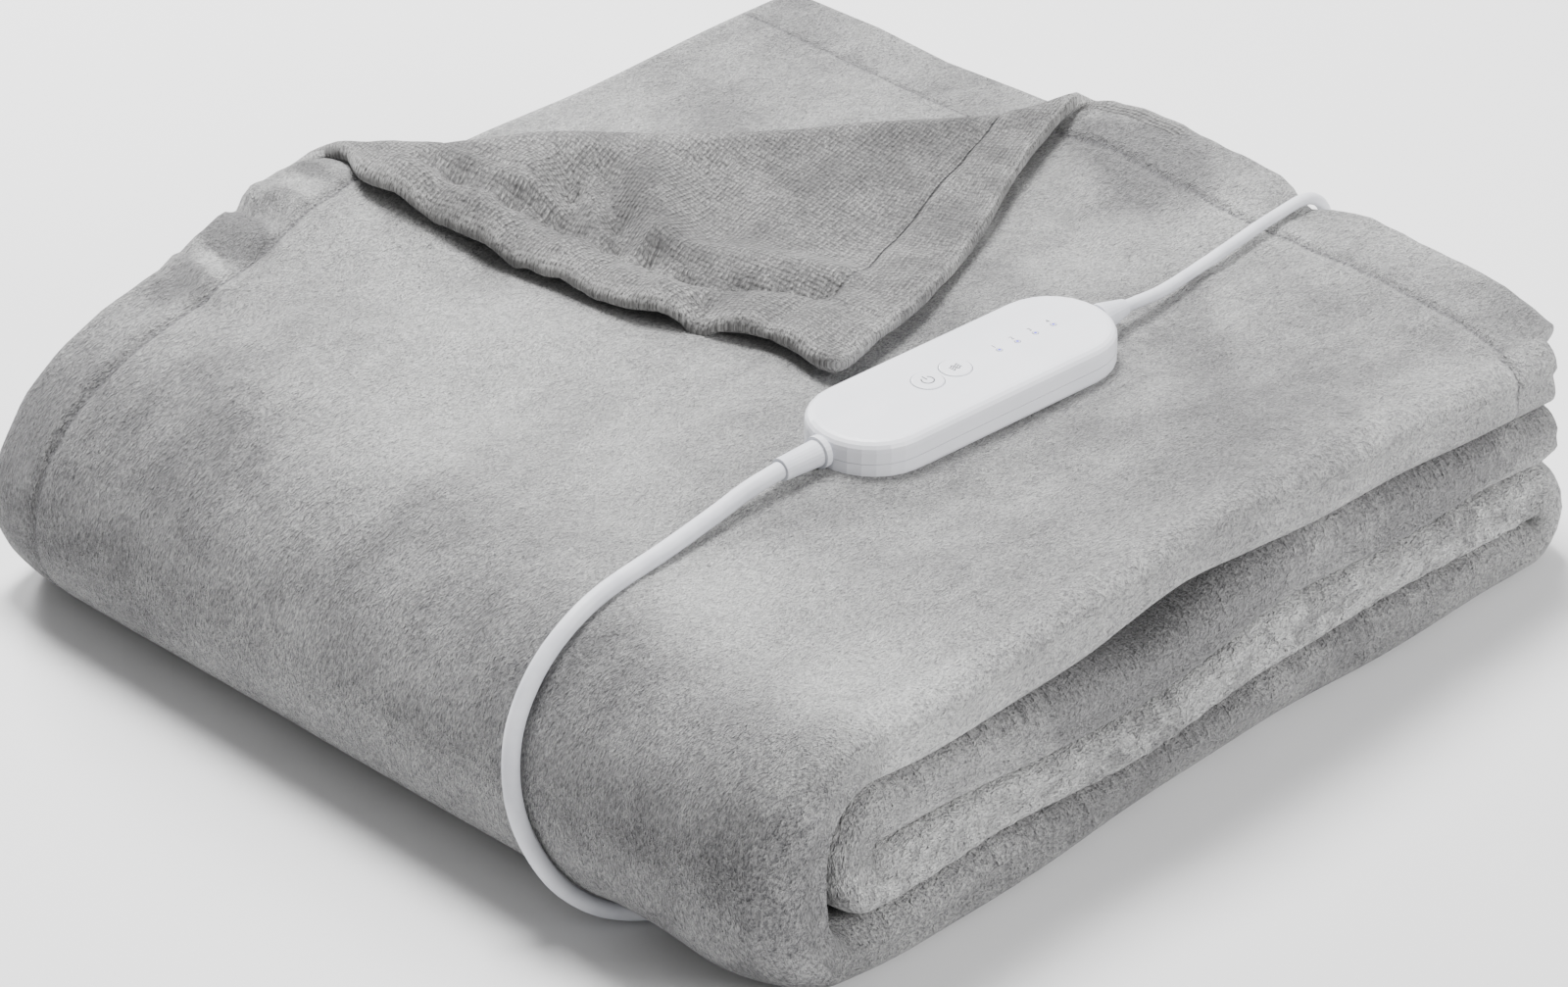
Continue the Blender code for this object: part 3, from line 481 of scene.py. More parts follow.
@dataclass(frozen=True)
class KnitFinish(PlushFinish):
    """The cloth's looped inner face, which shows on the turned corner: rows of short loops, with painted shade in their
    grooves and between them.
    """

    name: str = "knit_face"
    darkest: tuple = (0.20, 0.198, 0.195)
    lit: tuple = (0.42, 0.417, 0.408)
    deep: tuple = (0.06, 0.059, 0.061)
    thread: tuple = (0.035, 0.035, 0.04)
    sheen: float = 0.2

    def build(self) -> Material:
        """The material."""
        graph = Graph(self.name)
        cloth = graph.warped(graph.place(Space.CLOTH), 45.0, 0.0024)
        ribs = graph.ribs(cloth, "Y", 131.0, 0.3)
        loops = graph.cells(graph.mapped(cloth, (600.0, 417.0, 1.0)), 0.38)
        curls = graph.pattern(Space.CLOTH, (0.8, 1.0, 1.0), 0, 1300.0, 2.0, 0.8)
        clouds = graph.noise(graph.place(Space.OBJECT), 26.0, 3.0, 0.6, 0.5)
        mottle = graph.noise(graph.place(Space.OBJECT), 200.0, 3.0, 0.65)
        nap = graph.span(graph.mixture((clouds, 0.65), (mottle, 0.35)), 0.36, 0.64, 0.0, 1.0)
        colour = graph.ramp(nap, (0.0, self.darkest), (1.0, self.lit))
        side, end = self.edge_distance(graph)
        inner = graph.span(graph.sum("MINIMUM", side, end), 0.0015, 0.007, 0.15, 1.0)
        grooves = graph.times(graph.less(1.0, ribs), graph.span(mottle, 0.3, 0.7, 0.55, 1.0))
        # painted shade in the knit's hollows: the grooves between the ribs and the gaps between the loops darkened
        # towards the deep colour, less near the cut edges; the curls are dark specks of the pile
        shades = (
            graph.times(graph.times(grooves, inner), 0.58),
            graph.times(graph.span(loops, 0.28, 0.74, 0.0, 0.72), inner),
            graph.span(curls, 0.36, 0.58, 0.78, 0.0),
        )
        for shade in shades:
            colour = graph.blended(shade, colour, self.deep)
        line = graph.span(self.off_stitch(graph, end), 0.0, 0.0013, 1.0, 0.0)
        seam = graph.times(line, graph.span(side, 0.034, 0.06, 0.0, 1.0))
        thread = graph.times(seam, self.dashes(graph))
        graph.drive("Base Color", graph.blended(graph.times(thread, 0.9), colour, self.thread))
        graph.constant(Roughness=0.95, Specular_IOR_Level=0.1, Sheen_Weight=self.sheen, Sheen_Roughness=0.4)
        graph.relief(
            (self.puckers(graph), 0.5, 0.004),
            (graph.less(1.0, seam), 0.8, 0.0015),
            (ribs, 0.6, 0.0012),
            (mottle, 0.4, 0.0022),
            (graph.less(1.0, loops), 0.7, 0.0012),
            (curls, 0.6, 0.0008),
        )
        return graph.material


@dataclass(frozen=True)
class Speck:
    """A noise on a hard piece: its scale, detail and roughness, and how it is stretched and turned."""

    scale: float
    detail: float
    rough: float
    stretch: tuple = (1, 1, 1)
    turn: float = 0.0

    def on(self, graph: Graph) -> Socket:
        """The pattern in a material."""
        return graph.pattern(Space.OBJECT, self.stretch, self.turn, self.scale, self.detail, self.rough)


@dataclass(frozen=True)
class HardFinish:
    """Plastic, rubber, print or metal: a mottled colour, uneven gloss and a fine grain."""

    name: str
    mottle: Speck
    colours: tuple  # two stops along the mottle, each a place and a colour
    wear: Speck | None = None
    gloss: tuple = ()  # roughness where the wear is least and most
    grain: Speck | None = None
    height: tuple = ()  # strength of the grain, and its depth in m
    constants: tuple = ()  # the shader's own sockets and their values

    def build(self) -> Material:
        """The material."""
        graph = Graph(self.name)
        graph.drive("Base Color", graph.ramp(self.mottle.on(graph), *self.colours))
        if self.wear:
            graph.drive("Roughness", graph.span(self.wear.on(graph), 0.3, 0.7, *self.gloss))
        if self.grain:
            graph.relief((self.grain.on(graph), *self.height))
        graph.constant(**dict(self.constants))
        return graph.material


def moulded(name: str, worn: tuple, roughness: float) -> HardFinish:
    """Moulded white plastic with a fine spark texture and faint handling marks."""
    return HardFinish(
        name,
        Speck(38.0, 3.0, 0.5),
        ((0.3, worn), (0.62, (0.88, 0.885, 0.93))),
        Speck(120.0, 3.0, 0.6, (1.0, 0.3, 1.0), 25),
        (roughness - 0.05, roughness + 0.08),
        Speck(4200.0, 2.0, 0.6),
        (0.06, 0.0002),
        (("Coat_Weight", 0.15), ("Coat_Roughness", 0.25), ("Specular_IOR_Level", 0.5)),
    )


RUBBED, TURNED, DUST = Speck(60.0, 3.0, 0.55), Speck(2600.0, 2.0, 0.6, (1.0, 0.1, 0.1)), Speck(700.0, 3.0, 0.6)
WHITE = moulded("white_moulding", (0.84, 0.85, 0.90), 0.34)
KEYS = moulded("key_moulding", (0.83, 0.84, 0.89), 0.38)
JACKET = HardFinish(
    "cord_jacket_satin",
    RUBBED,
    ((0.32, (0.64, 0.65, 0.70)), (0.6, (0.74, 0.75, 0.79))),
    RUBBED,
    (0.52, 0.40),
    Speck(2600.0, 2.0, 0.6),
    (0.08, 0.0002),
    (("Specular_IOR_Level", 0.45),),
)
INK = HardFinish(
    "grey_print",
    Speck(1400.0, 3.0, 0.6),
    ((0.35, (0.06, 0.06, 0.07)), (0.7, (0.12, 0.12, 0.14))),
    constants=(("Roughness", 0.5),),
)
METAL = HardFinish(
    "plated_pin",
    Speck(300.0, 2.0, 0.5),
    ((0.3, (0.576, 0.56, 0.528)), (0.6, (0.72, 0.70, 0.66))),
    TURNED,
    (0.2, 0.34),
    TURNED,
    (0.08, 0.0001),
    (("Metallic", 1.0),),
)
TIE = HardFinish(
    "tie_matt",
    DUST,
    ((0.3, (0.5084, 0.5084, 0.5248)), (0.65, (0.62, 0.62, 0.64))),
    DUST,
    (0.72, 0.6),
    DUST,
    (0.2, 0.0002),
)


@dataclass(frozen=True)
class LampFinish:
    """A small clear lens with a blue-violet light in its middle."""

    name: str = "lamp_lens_lit"
    glow: tuple = (0.08, 0.06, 0.70)
    rim: tuple = (0.74, 0.75, 0.84)

    def build(self) -> Material:
        """The material."""
        graph = Graph(self.name)
        x, y, _ = graph.split(graph.place(Space.PIECE))
        squares = [graph.sum("POWER", graph.less(place, 0.5), 2.0) for place in (x, y)]
        middle = graph.span(graph.sum("SQRT", graph.plus(*squares)), 0.20, 0.34, 1.0, 0.0)
        graph.drive("Base Color", graph.blended(middle, self.rim, self.glow))
        graph.drive("Emission Strength", graph.times(middle, 0.5))
        graph.constant(Emission_Color=(0.25, 0.22, 1.0), Roughness=0.2, Specular_IOR_Level=0.6)
        graph.relief((graph.noise(graph.place(Space.OBJECT), 3000.0), 0.05, 0.0001))
        return graph.material


def dress(piece: Object, *materials: Material) -> None:
    """Puts materials on a piece in place of what it has."""
    piece.data.materials.clear()
    for made in materials:
        piece.data.materials.append(made)


# ---------------------------------------------------------------- the folded throw
class Level(Enum):
    """The four levels of the three-ply strip, from the surface up."""

    BOTTOM = 0
    THIRD = 1
    SECOND = 2
    TOP = 3


class Zone(Enum):
    """Sections of the strip, along its length from the end on top."""

    TOP = 0
    WRAP = 1
    BOTTOM = 2
    INSIDE = 3


@dataclass(frozen=True)
class SideLine:
    """Sizes along one side of the stack, in mm; pitch is from the middle of one ply to the next."""

    x_front: float
    x_back: float
    pitch_front: float
    pitch_back: float


@dataclass(frozen=True)
class Turn:
    """A fold between two levels; each pair is for the left and the right side, in mm."""

    way: int
    tip: tuple
    depth_first: tuple
    depth_last: tuple
    belly: tuple
    turned_in: bool
    steps: int


@dataclass(frozen=True)
class Crease:
    """The turned-back corner of the top ply, in mm and degrees."""

    hem_end: tuple = (-210.2, -43.7)
    angle: float = 51.3
    bend: float = 11.0
    reaches: tuple = ((0, 12.3), (50, 12.8), (110, 23.2), (200, 7.9), (360, 9.9))
    rises: tuple = ((0, 3.6), (40, 5.5), (90, 9.2), (200, 10.4), (360, 3.7))
    bows: tuple = ((0, 0), (220, 0), (260, 7.3), (300, 19.2), (330, 39.2), (360, 34.4))
    stretch: float = 1.045
    shear: float = -0.25
    rest: float = 6.9
    settle: float = 25.9

    @property
    def across(self) -> Array:
        """Unit vector across the crease, towards the corner."""
        a = math.radians(self.angle)
        return np.array((-math.sin(a), math.cos(a)))

    @property
    def along(self) -> Array:
        """Unit vector along the crease, from the long hem to the end hem."""
        across = self.across
        return np.array((across[1], -across[0]))

    @property
    def start(self) -> Array:
        """A point of the line where the bend starts."""
        return np.array(self.hem_end) - self.across * self.bend


@dataclass
class Profile:
    """One side of the strip, station by station, in mm."""

    y: Array
    z: Array
    out_y: Array
    out_z: Array
    pitch: Array

    def lifted(self, station: int, height: Array) -> tuple[Array, Array]:
        """The y and z of points at heights over the middle of one station."""
        y = self.y[station] + self.out_y[station] * height
        return y, self.z[station] + self.out_z[station] * height


@dataclass
class Ring:
    """The strip's section across the plies at one station: place, height, normal and flat distance."""

    x: Array
    height: Array
    out_x: Array
    out_h: Array
    across: Array
    outer: int  # points on the outer ply, before it turns under at the right


# the fold lines of the top ply, in the order of the fields of Wrinkle
WRINKLES = (
    ((70, 204), (42, 169), 6.5, -7.0), ((42, 169), (26, 148), 5.5, -5.5), ((64, 222), (30, 182), 7.0, 4.0),
    ((64, 180), (38, 137), 6.0, -6.0), ((38, 137), (31, 122), 5.0, -4.0), ((70, 196), (33, 150), 5.0, 3.2),
    ((76, 168), (44, 114), 8.0, 3.4), ((92, 150), (54, 96), 9.0, -2.6), ((37, 112), (54, 36), 7.5, 4.6),
    ((12, 262), (20, 232), 5.0, -4.0), ((20, 232), (20, 214), 4.8, -5.2), ((20, 214), (21, 183), 4.8, -5.4),
    ((21, 183), (25, 160), 4.8, -5.4), ((25, 160), (25, 127), 4.6, -5.4), ((25, 127), (27, 108), 4.6, -5.4),
    ((27, 108), (25, 85), 4.6, -5.4), ((25, 85), (28, 62), 4.6, -5.4), ((28, 62), (39, 34), 4.8, -4.6),
    ((8, 250), (10, 70), 6.0, 2.2), ((-2, 57), (12, 63), 4.2, -6.5), ((1, 74), (14, 84), 7.0, 2.8),
    ((5, 42), (20, 50), 6.5, 2.4), ((3, 128), (16, 140), 6.0, 2.4), ((0, 108), (14, 116), 4.5, -1.8),
    ((3, 175), (14, 188), 6.5, 2.6), ((0, 155), (12, 163), 4.5, -1.8), ((4, 222), (18, 236), 7.0, 2.8),
    ((0, 202), (14, 210), 4.5, -2.0), ((110, 12), (128, 30), 8.0, -2.6), ((60, 10), (76, 28), 9.0, 2.4),
    ((150, 40), (190, 60), 13.0, -2.0), ((2, 338), (25, 330), 3.4, -5.0), ((4, 326), (26, 318), 6.0, 2.2),
    ((6, 352), (28, 347), 6.0, 1.6), ((2, 372), (26, 362), 5.5, -2.0), ((4, 386), (24, 378), 6.0, 1.8),
    ((4, 404), (22, 396), 7.0, -1.4), ((222, 66), (262, 92), 7.0, -2.4), ((240, 46), (292, 66), 6.0, -1.8),
    ((206, 84), (236, 110), 8.0, -1.6), ((262, 70), (330, 74), 9.0, 1.4), ((332, 46), (392, 60), 12.0, -1.4),
    ((350, 130), (408, 104), 14.0, -1.6), ((300, 120), (400, 190), 20.0, 1.4), ((372, 24), (420, 18), 7.0, -1.6),
    ((150, 300), (60, 390), 26.0, 1.2), ((60, 395), (220, 392), 22.0, -1.3),
)  # fmt: skip
# y, and how far up the side of the bottom, third, second and top level is moved there, in mm
PULLS = (
    (-240, 0, 1, 3, 5), (-200, 0, 1, 4, 6), (-165, 0, 1, 2, 4), (-124, 0, 1, 0, 3), (-72, 0, -3, -5, 5),
    (-29, 0, -4, -9, 8), (10, 0, -1, -4, 10), (40, 0, 2, 1, 9), (70, 0, 2, 1, 8), (110, 0, 1, 0, 5),
    (160, 0, 0, -2, -1), (230, 0, -3, -4, -5),
)  # fmt: skip
# how far the long hem and the end hem are let out at distances along them, in mm
SIDE_OUT = (
    (0, -2.8), (30, -9.9), (60, -1.1), (90, 4.9), (120, 5.3), (150, 6.2), (180, 6.8), (210, 10.8), (240, 13.6),
    (270, 1.8), (300, 0.0),
)  # fmt: skip
END_OUT = (
    (0, 24.1), (25, 21.2), (50, 23.5), (75, 18.8), (100, 11.0), (130, -0.4), (160, -5.9), (190, 1.9), (230, 12.0),
)  # fmt: skip


@dataclass
class FoldedThrow:
    """The plush throw, folded in thirds and quarters, with its corner turned back."""

    sheet: float = 5.8
    left: SideLine = SideLine(-213.0, -216.0, 9.3, 8.4)
    right: SideLine = SideLine(220.0, 222.0, 9.2, 8.6)
    front: float = -222.0
    back: float = 217.0
    top_end: tuple = (225.0, 221.0)
    second_end: tuple = (223.0, 217.0)
    wrap: Turn = Turn(-1, (-224.0, -228.0), (92.0, 52.0), (20.0, 32.0), (0.70, 0.52), False, 20)
    back_fold: Turn = Turn(1, (216.0, 216.0), (13.0, 13.0), (13.0, 13.0), (0.5, 0.5), False, 6)
    lobe: Turn = Turn(-1, (-160.0, -191.0), (14.0, 14.0), (14.0, 14.0), (0.5, 0.5), True, 6)
    crease: Crease = Crease()
    hem_width: float = 33.0
    side_puff: float = 1.4
    square: float = 0.72  # below 1, the side of the plies is flatter than a half circle
    outer_share: float = 0.34  # of the strip's width, the outer ply with its hem
    end_edge: int = 56  # faces of the end hem's edge that show the looped face
    rim: float = 9.0  # of the outer face, where the looped face shows round a turned edge
    crease_ends: float = 285.0
    hem_reach: tuple = ((0, 8), (285, 8), (320, 4), (345, -2), (380, -5), (440, -3), (520, -6), (900, -6), (960, -4))
    flat: tuple = (1.30, 1.80)  # m
    channel_line: tuple = ((150.0, -187.0), (107.0, 272.0))
    channel_rise: float = 9.4
    channel_fades_at: float = 85.0
    channel_half: tuple = (9.0, 36.0)
    channel_opens: tuple = (-238.0, -206.0)
    corners: tuple = ((1, 1, 70.0, 10.0), (1, -1, 46.0, 16.0), (-1, -1, 50.0, 8.0))
    corner_round: float = 18.0
    let_out_over: float = 85.0
    side_out: tuple = SIDE_OUT
    end_out: tuple = END_OUT
    wrinkles: tuple = tuple(Wrinkle(*row) for row in WRINKLES)
    humps: tuple = ((-161, 222, 40, 55, 0.05), (-20, 222, 52, 45, 0.06))
    cord_dip: tuple = (78.9, 13.0, 9.5, 1.2)  # x, width, and how far the hem gives back and down under the cord
    lifts: tuple = ((-175, 0), (-150, 2.5), (-120, 5.5), (-95, 9.5), (-70, 12.5), (-45, 14), (-15, 8), (25, 2), (60, 0))
    gap: tuple = (-26.0, 44.0)  # y of the stretch where the top roll stands clear of the next, and its width
    pulls: tuple = PULLS
    slow: tuple = (
        Ripple(190.0, 0.011, 24.0, 0.10),
        Ripple(131.0, 0.008, 74.0, 0.55),
        Ripple(97.0, 0.006, -38.0, 0.31),
        Ripple(61.0, 0.004, 12.0, 0.77),
    )
    edge_steps: tuple = (0.0, 0.7, 2.0, 4.2, 8.0, 12.0, 16.0, 20.5, 25.0, 28.5, 31.2, 33.0, 34.8, 38.0, 42.0, 47.0)
    top_steps: int = 74

    # ---- the two sides
    def pitch(self, side: SideLine, y: Array) -> Array:
        """Pitch of the plies at y on one side."""
        share = np.clip((y - self.front) / (self.back - self.front), 0.0, 1.05)
        return side.pitch_front + (side.pitch_back - side.pitch_front) * share

    def level(self, side: SideLine, level: Level, y: Array) -> Array:
        """Height of the strip's middle ply on a level."""
        return self.pitch(side, y) * (1 + 3 * level.value) + self.sheet / 2

    def turn_stations(self, turn: Turn, which: int, first: Level, last: Level) -> Profile:
        """Stations round a fold: two quarter ellipses."""
        side = (self.left, self.right)[which]
        tip = turn.tip[which]
        z_first = self.level(side, first, np.array(tip - turn.way * turn.depth_first[which]))
        z_last = self.level(side, last, np.array(tip - turn.way * turn.depth_last[which]))
        z_tip = z_first + (z_last - z_first) * turn.belly[which]
        rising = 1 if z_last > z_first else -1
        outward = -1 if turn.turned_in else 1
        angle = math.pi * np.arange(1, 2 * turn.steps) / (2 * turn.steps)
        upper = angle <= math.pi / 2
        ry = np.where(upper, turn.depth_first[which], turn.depth_last[which])
        rz = np.where(upper, abs(z_tip - z_first), abs(z_last - z_tip))
        y = tip - turn.way * ry * (1 - np.sin(angle))
        z = z_tip - rising * rz * np.cos(angle)
        ny, nz = turn.way * np.sin(angle) / ry * outward, -rising * np.cos(angle) / rz * outward
        long = np.hypot(ny, nz)
        return Profile(y, z, ny / long, nz / long, np.full_like(y, float(self.pitch(side, np.array(tip)))))

    def run_stations(self, level: Level, which: int, start: float, end: float, shares: Array, up: float) -> Profile:
        """Stations along a straight run."""
        side = (self.left, self.right)[which]
        y = start + (end - start) * shares
        flat = np.zeros_like(y)
        return Profile(y, self.level(side, level, y), flat, flat + up, self.pitch(side, y))

    def side_profile(self, which: int) -> tuple[Profile, Array]:
        """Every station of one side, and the zone that each is in."""
        wrap, fold, lobe = self.wrap, self.back_fold, self.lobe
        top_front = wrap.tip[which] + wrap.depth_first[which]
        length = self.top_end[which] - top_front
        near_edge = np.array(self.edge_steps) / length
        rest = np.linspace(near_edge[-1], 1.0, self.top_steps)[1:]
        even = np.linspace(0.0, 1.0, 34, endpoint=False)
        inner = np.linspace(0.0, 1.0, 36, endpoint=False)
        third = np.linspace(0.0, 1.0, 84, endpoint=False)
        bottom_ends = wrap.tip[which] + wrap.depth_last[which], fold.tip[which] - fold.depth_first[which]
        third_ends = fold.tip[which] - fold.depth_last[which], lobe.tip[which] + lobe.depth_first[which]
        second_ends = lobe.tip[which] + lobe.depth_last[which], self.second_end[which]
        top = np.concatenate((near_edge, rest))
        parts = [
            (Zone.TOP, self.run_stations(Level.TOP, which, self.top_end[which], top_front, top, 1.0)),
            (Zone.WRAP, self.turn_stations(wrap, which, Level.TOP, Level.BOTTOM)),
            (Zone.BOTTOM, self.run_stations(Level.BOTTOM, which, *bottom_ends, even, -1.0)),
            (Zone.INSIDE, self.turn_stations(fold, which, Level.BOTTOM, Level.THIRD)),
            (Zone.INSIDE, self.run_stations(Level.THIRD, which, *third_ends, third, 1.0)),
            (Zone.INSIDE, self.turn_stations(lobe, which, Level.THIRD, Level.SECOND)),
            (Zone.INSIDE, self.run_stations(Level.SECOND, which, *second_ends, np.append(inner, 1.0), -1.0)),
        ]
        zones = np.concatenate([np.full(len(p.y), zone.value) for zone, p in parts])
        joined = [np.concatenate([getattr(p, key) for _, p in parts]) for key in ("y", "z", "out_y", "out_z", "pitch")]
        return Profile(*joined), zones

    # ---- across the plies
    def side_x(self, side: SideLine, y: Array) -> Array:
        """The x of one side of the stack."""
        share = np.clip((y - self.front) / (self.back - self.front), 0.0, 1.0)
        return side.x_front + (side.x_back - side.x_front) * share

    def sides_at(self, y: float) -> tuple[float, float]:
        """The x of both sides of the stack."""
        return tuple(float(self.side_x(side, np.array(y))) for side in (self.left, self.right))

    def reach(self, from_end: float) -> float:
        """How far the long hem reaches past the left side, so far along the strip."""
        stops, reaches = zip(*self.hem_reach)
        return float(np.interp(from_end, stops, reaches))

    def ring(self, y: float, pitch: float, reach: float) -> Ring:
        """The strip's section at one station, from the long hem round to the inner third's hem."""
        x_left, x_right = self.sides_at(y)
        right_turn = x_right - pitch - self.sheet / 2
        left_turn = x_left + pitch / 2 + self.sheet / 2
        hem = x_left - reach
        near = hem + np.array(self.edge_steps)
        outer = np.concatenate((near[:-1], spaced((near[-1], 40.0, 170.0, right_turn), (48, 16, 9))[:-1]))
        round_right = math.pi * np.arange(10) / 10
        middle = spaced((right_turn, 170.0, 0.0, -160.0, left_turn), (9, 6, 4, 6))[:-1]
        round_left = math.pi * np.arange(6) / 6
        inner_end = right_turn - self.sheet / 2 - 1.5
        inner = spaced((left_turn, -160.0, 0.0, 165.0, inner_end - 6, inner_end), (6, 4, 5, 5, 4))
        half = pitch / 2
        sides, levels = np.sin(round_right) ** self.square, np.cos(round_right)
        levels = np.sign(levels) * np.abs(levels) ** self.square
        x = (outer, right_turn + pitch * sides, middle, left_turn - half * np.sin(round_left), inner)
        height = (
            np.full(len(outer), pitch),
            pitch * levels,
            np.full(len(middle), -pitch),
            -half - half * np.cos(round_left),
            np.zeros(len(inner)),
        )
        out_x = (0 * outer, np.sin(round_right), 0 * middle, -np.sin(round_left), 0 * inner)
        out_h = (0 * outer + 1, np.cos(round_right), 0 * middle - 1, -np.cos(round_left), 0 * inner + 1)
        x, height, out_x, out_h = (np.concatenate(part) for part in (x, height, out_x, out_h))
        steps = np.hypot(np.diff(x), np.diff(height))
        across = np.concatenate(([0.0], np.cumsum(steps)))
        across[: len(outer)] = outer - hem
        return Ring(x, height, out_x, out_h, across * self.flat[0] / MM / across[-1], len(outer))

    # ---- shaping
    def rounded_plan(self, x: Array, y: Array) -> Array:
        """The y of points after the stack's corners are drawn in."""
        for which, way, size, draw in self.corners:
            edge = self.side_x(self.right if which > 0 else self.left, y)
            across = (size - which * (edge - x)) / size
            tip = self.back if way > 0 else self.front
            along = (size - way * (tip - y)) / size
            inside = (across > 0) & (along > 0)
            y = np.where(inside, y - way * draw * np.minimum(across, 1.1) ** 2 * np.minimum(along, 1.0), y)
        return y

    def channel(self, x: Array, y: Array) -> Array:
        """How far the cord's channel lifts the lowest ply at a place."""
        (x0, y0), (x1, y1) = self.channel_line
        middle = x0 + (x1 - x0) * (np.maximum(y, y0) - y0) / (y1 - y0)
        shape = 1.0 - smoothstep(np.abs(x - middle), self.channel_half[0] - 2, self.channel_half[1])
        return self.channel_rise * shape * np.interp(y, self.channel_opens, (0.0, 1.0))

    def top_height(self, x: Array, y: Array) -> Array:
        """Height of the top ply's middle at a place."""
        x_left, x_right = self.side_x(self.left, y), self.side_x(self.right, y)
        ends = [self.level(side, Level.TOP, y) + self.pitch(side, y) for side in (self.left, self.right)]
        return ends[0] + (ends[1] - ends[0]) * (x - x_left) / (x_right - x_left)

    def pulled(self, x: Array, y: Array, z: Array, own: Level | None = None) -> tuple[Array, Array]:
        """The x and z of points after the side of the folded plies has settled unevenly."""
        near = smoothstep(x, 60.0, 216.0) ** 1.5
        at, *columns = zip(*self.pulls)
        pulls = [through(list(zip(at, column)), y) for column in columns]
        heights = [self.level(self.right, level, y) for level in Level]
        lift = np.zeros_like(z)
        lift = np.where(z < heights[0], pulls[0] * np.clip(z / heights[0], 0, 1), lift)
        for low, high, under, over in zip(heights, heights[1:], pulls, pulls[1:]):
            share = np.clip((z - low) / (high - low), 0.0, 1.0)
            lift = np.where(z >= low, under + (over - under) * share, lift)
        if own in (Level.SECOND, Level.TOP):
            apart = bell(y, *self.gap) * ((z > heights[2]) | (own is Level.TOP))
            lift = lift + apart * (pulls[own.value] - lift)
        wave = 1.0 * np.sin(y / 31.0 + z / 14.0) + 0.7 * np.sin(y / 17.0 - z / 9.0 + 1.0)
        crushed = np.sin(y / 2.3 + z / 3.1) + 0.9 * np.sin(y / 1.7 - z / 2.4 + 1.2 * np.sin(y / 9.0))
        crushed = bell(z, heights[1], 13.0) * crushed
        wave = wave + 0.55 * crushed * smoothstep(x, 212.0, 222.0)
        wave = wave - 6.0 * bell(z, 2.0, 9.0) * (bell(y, 30.0, 60.0) + bell(y, -205.0, 30.0))
        back = smoothstep(y, 150.0, 222.0)
        wave = wave + back * (3.0 * bell(z, heights[2], 12.0) - 6.5 * smoothstep(z, heights[3] - 16, heights[3]))
        return x + smoothstep(x, 170.0, 225.0) * wave, z + near * lift

    def settled(self, points: Array, own: Level | None = None) -> Array:
        """Points after the whole stack's slow unevenness, which keeps the plies in order."""
        x, y, z = points.T
        x, z = self.pulled(x, y, z, own)
        z = z * (1.0 + rippled(self.slow, x, y))
        for at_x, at_y, wide, deep, share in self.humps:
            z = z * (1.0 + share * bell(x, at_x, wide) * bell(y, at_y, deep))
        at_x, wide, back, down = self.cord_dip
        gives = bell(x, at_x, wide) * smoothstep(y, 204.0, 228.0) * smoothstep(z, 84.0, 91.0)
        y, z = y - back * gives, z - down * gives
        z = np.maximum(z, 0.0)
        return np.column_stack((x, y, z))

    def lift(self, x: Array, y: Array) -> Array:
        """How far the top ply stands up near the long hem, before the turned corner."""
        hem_x = self.side_x(self.left, y) - 8.0
        up = through(self.lifts, y)
        return up * (1 - smoothstep(x - hem_x, 34.0, 105.0))

    def flap_folds(self, from_side: Array, from_end: Array, beyond: Array) -> Array:
        """Height of the turned corner's soft folds over its even shape."""
        lies = smoothstep(beyond, 0.0, 34.0)
        slant = (from_end + 0.9 * from_side) / 29.0
        scallop = 1.0 - np.abs(np.sin(math.pi * slant + 0.5 * np.sin(slant * 2.3))) ** 0.8
        near_hem = np.clip(1 - from_side / 50.0, 0, 1) ** 0.7
        edge_up = 1.6 * (1 - smoothstep(from_side, 0.0, 60.0)) * smoothstep(from_end, 60.0, 140.0)
        field = 0.7 * np.sin((from_side + 0.5 * from_end) / 17.0) + 0.5 * np.sin((from_end - 0.7 * from_side) / 12.0)
        end_curl = 3.0 * bell(from_end, 0.0, 26.0) * (0.5 + 0.5 * np.sin(from_side / 24.0 + 0.6))
        return lies * (0.8 * scallop * near_hem + edge_up + field + 0.8 + end_curl)

    def wrinkled(self, from_side: Array, from_end: Array) -> Array:
        """Height of the named wrinkles at flat places."""
        return sum(wrinkle.at(from_side, from_end) for wrinkle in self.wrinkles)

    def turned(
        self, x: Array, y: Array, z: Array, offset: Array, from_side: Array, from_end: Array
    ) -> tuple[Array, Array, Array]:
        """Points of the top ply after its corner is turned back.

        Args:
            x: Places on the flat ply.
            y: Places on the flat ply.
            z: Height of its middle there.
            offset: Distance from its middle, along its normal.
            from_side: Distance from the long hem.
            from_end: Distance from the end hem.

        Returns:
            The new x, y and z.
        """
        x, y = self.rounded_corner(x, y, from_side, from_end)
        crease = self.crease
        across, along, start = crease.across, crease.along, crease.start
        past = (x - start[0]) * across[0] + (y - start[1]) * across[1]
        run = (x - start[0]) * along[0] + (y - start[1]) * along[1]
        past = past - through(crease.bows, run)
        turn = np.clip(past / crease.bend, 0.0, math.pi)
        beyond = np.maximum(past - math.pi * crease.bend, 0.0)
        out, up = (through(table, run) for table in (crease.reaches, crease.rises))
        reach = out * np.sin(turn) - crease.stretch * beyond
        down = 1 - np.exp(-beyond / crease.settle)
        settled = (2 * up - crease.rest) * down
        shift = crease.shear * beyond
        mx = x + across[0] * (reach - past) + along[0] * shift
        my = y + across[1] * (reach - past) + along[1] * shift
        height = self.top_height(mx, my) + up * (1 - np.cos(turn)) - settled
        small = self.wrinkled(from_side, from_end)
        height = height + self.lift(mx, my) + self.flap_folds(from_side, from_end, beyond)
        height = height + small * smoothstep(beyond, 0.0, 14.0)
        z = z + self.lift(x, y) + small
        flat = past <= 0
        nx = np.where(flat, 0.0, -across[0] * np.sin(turn))
        ny = np.where(flat, 0.0, -across[1] * np.sin(turn))
        nz = np.where(flat, 1.0, np.cos(turn))
        px = np.where(flat, x, mx) + nx * offset
        py = np.where(flat, y, my) + ny * offset
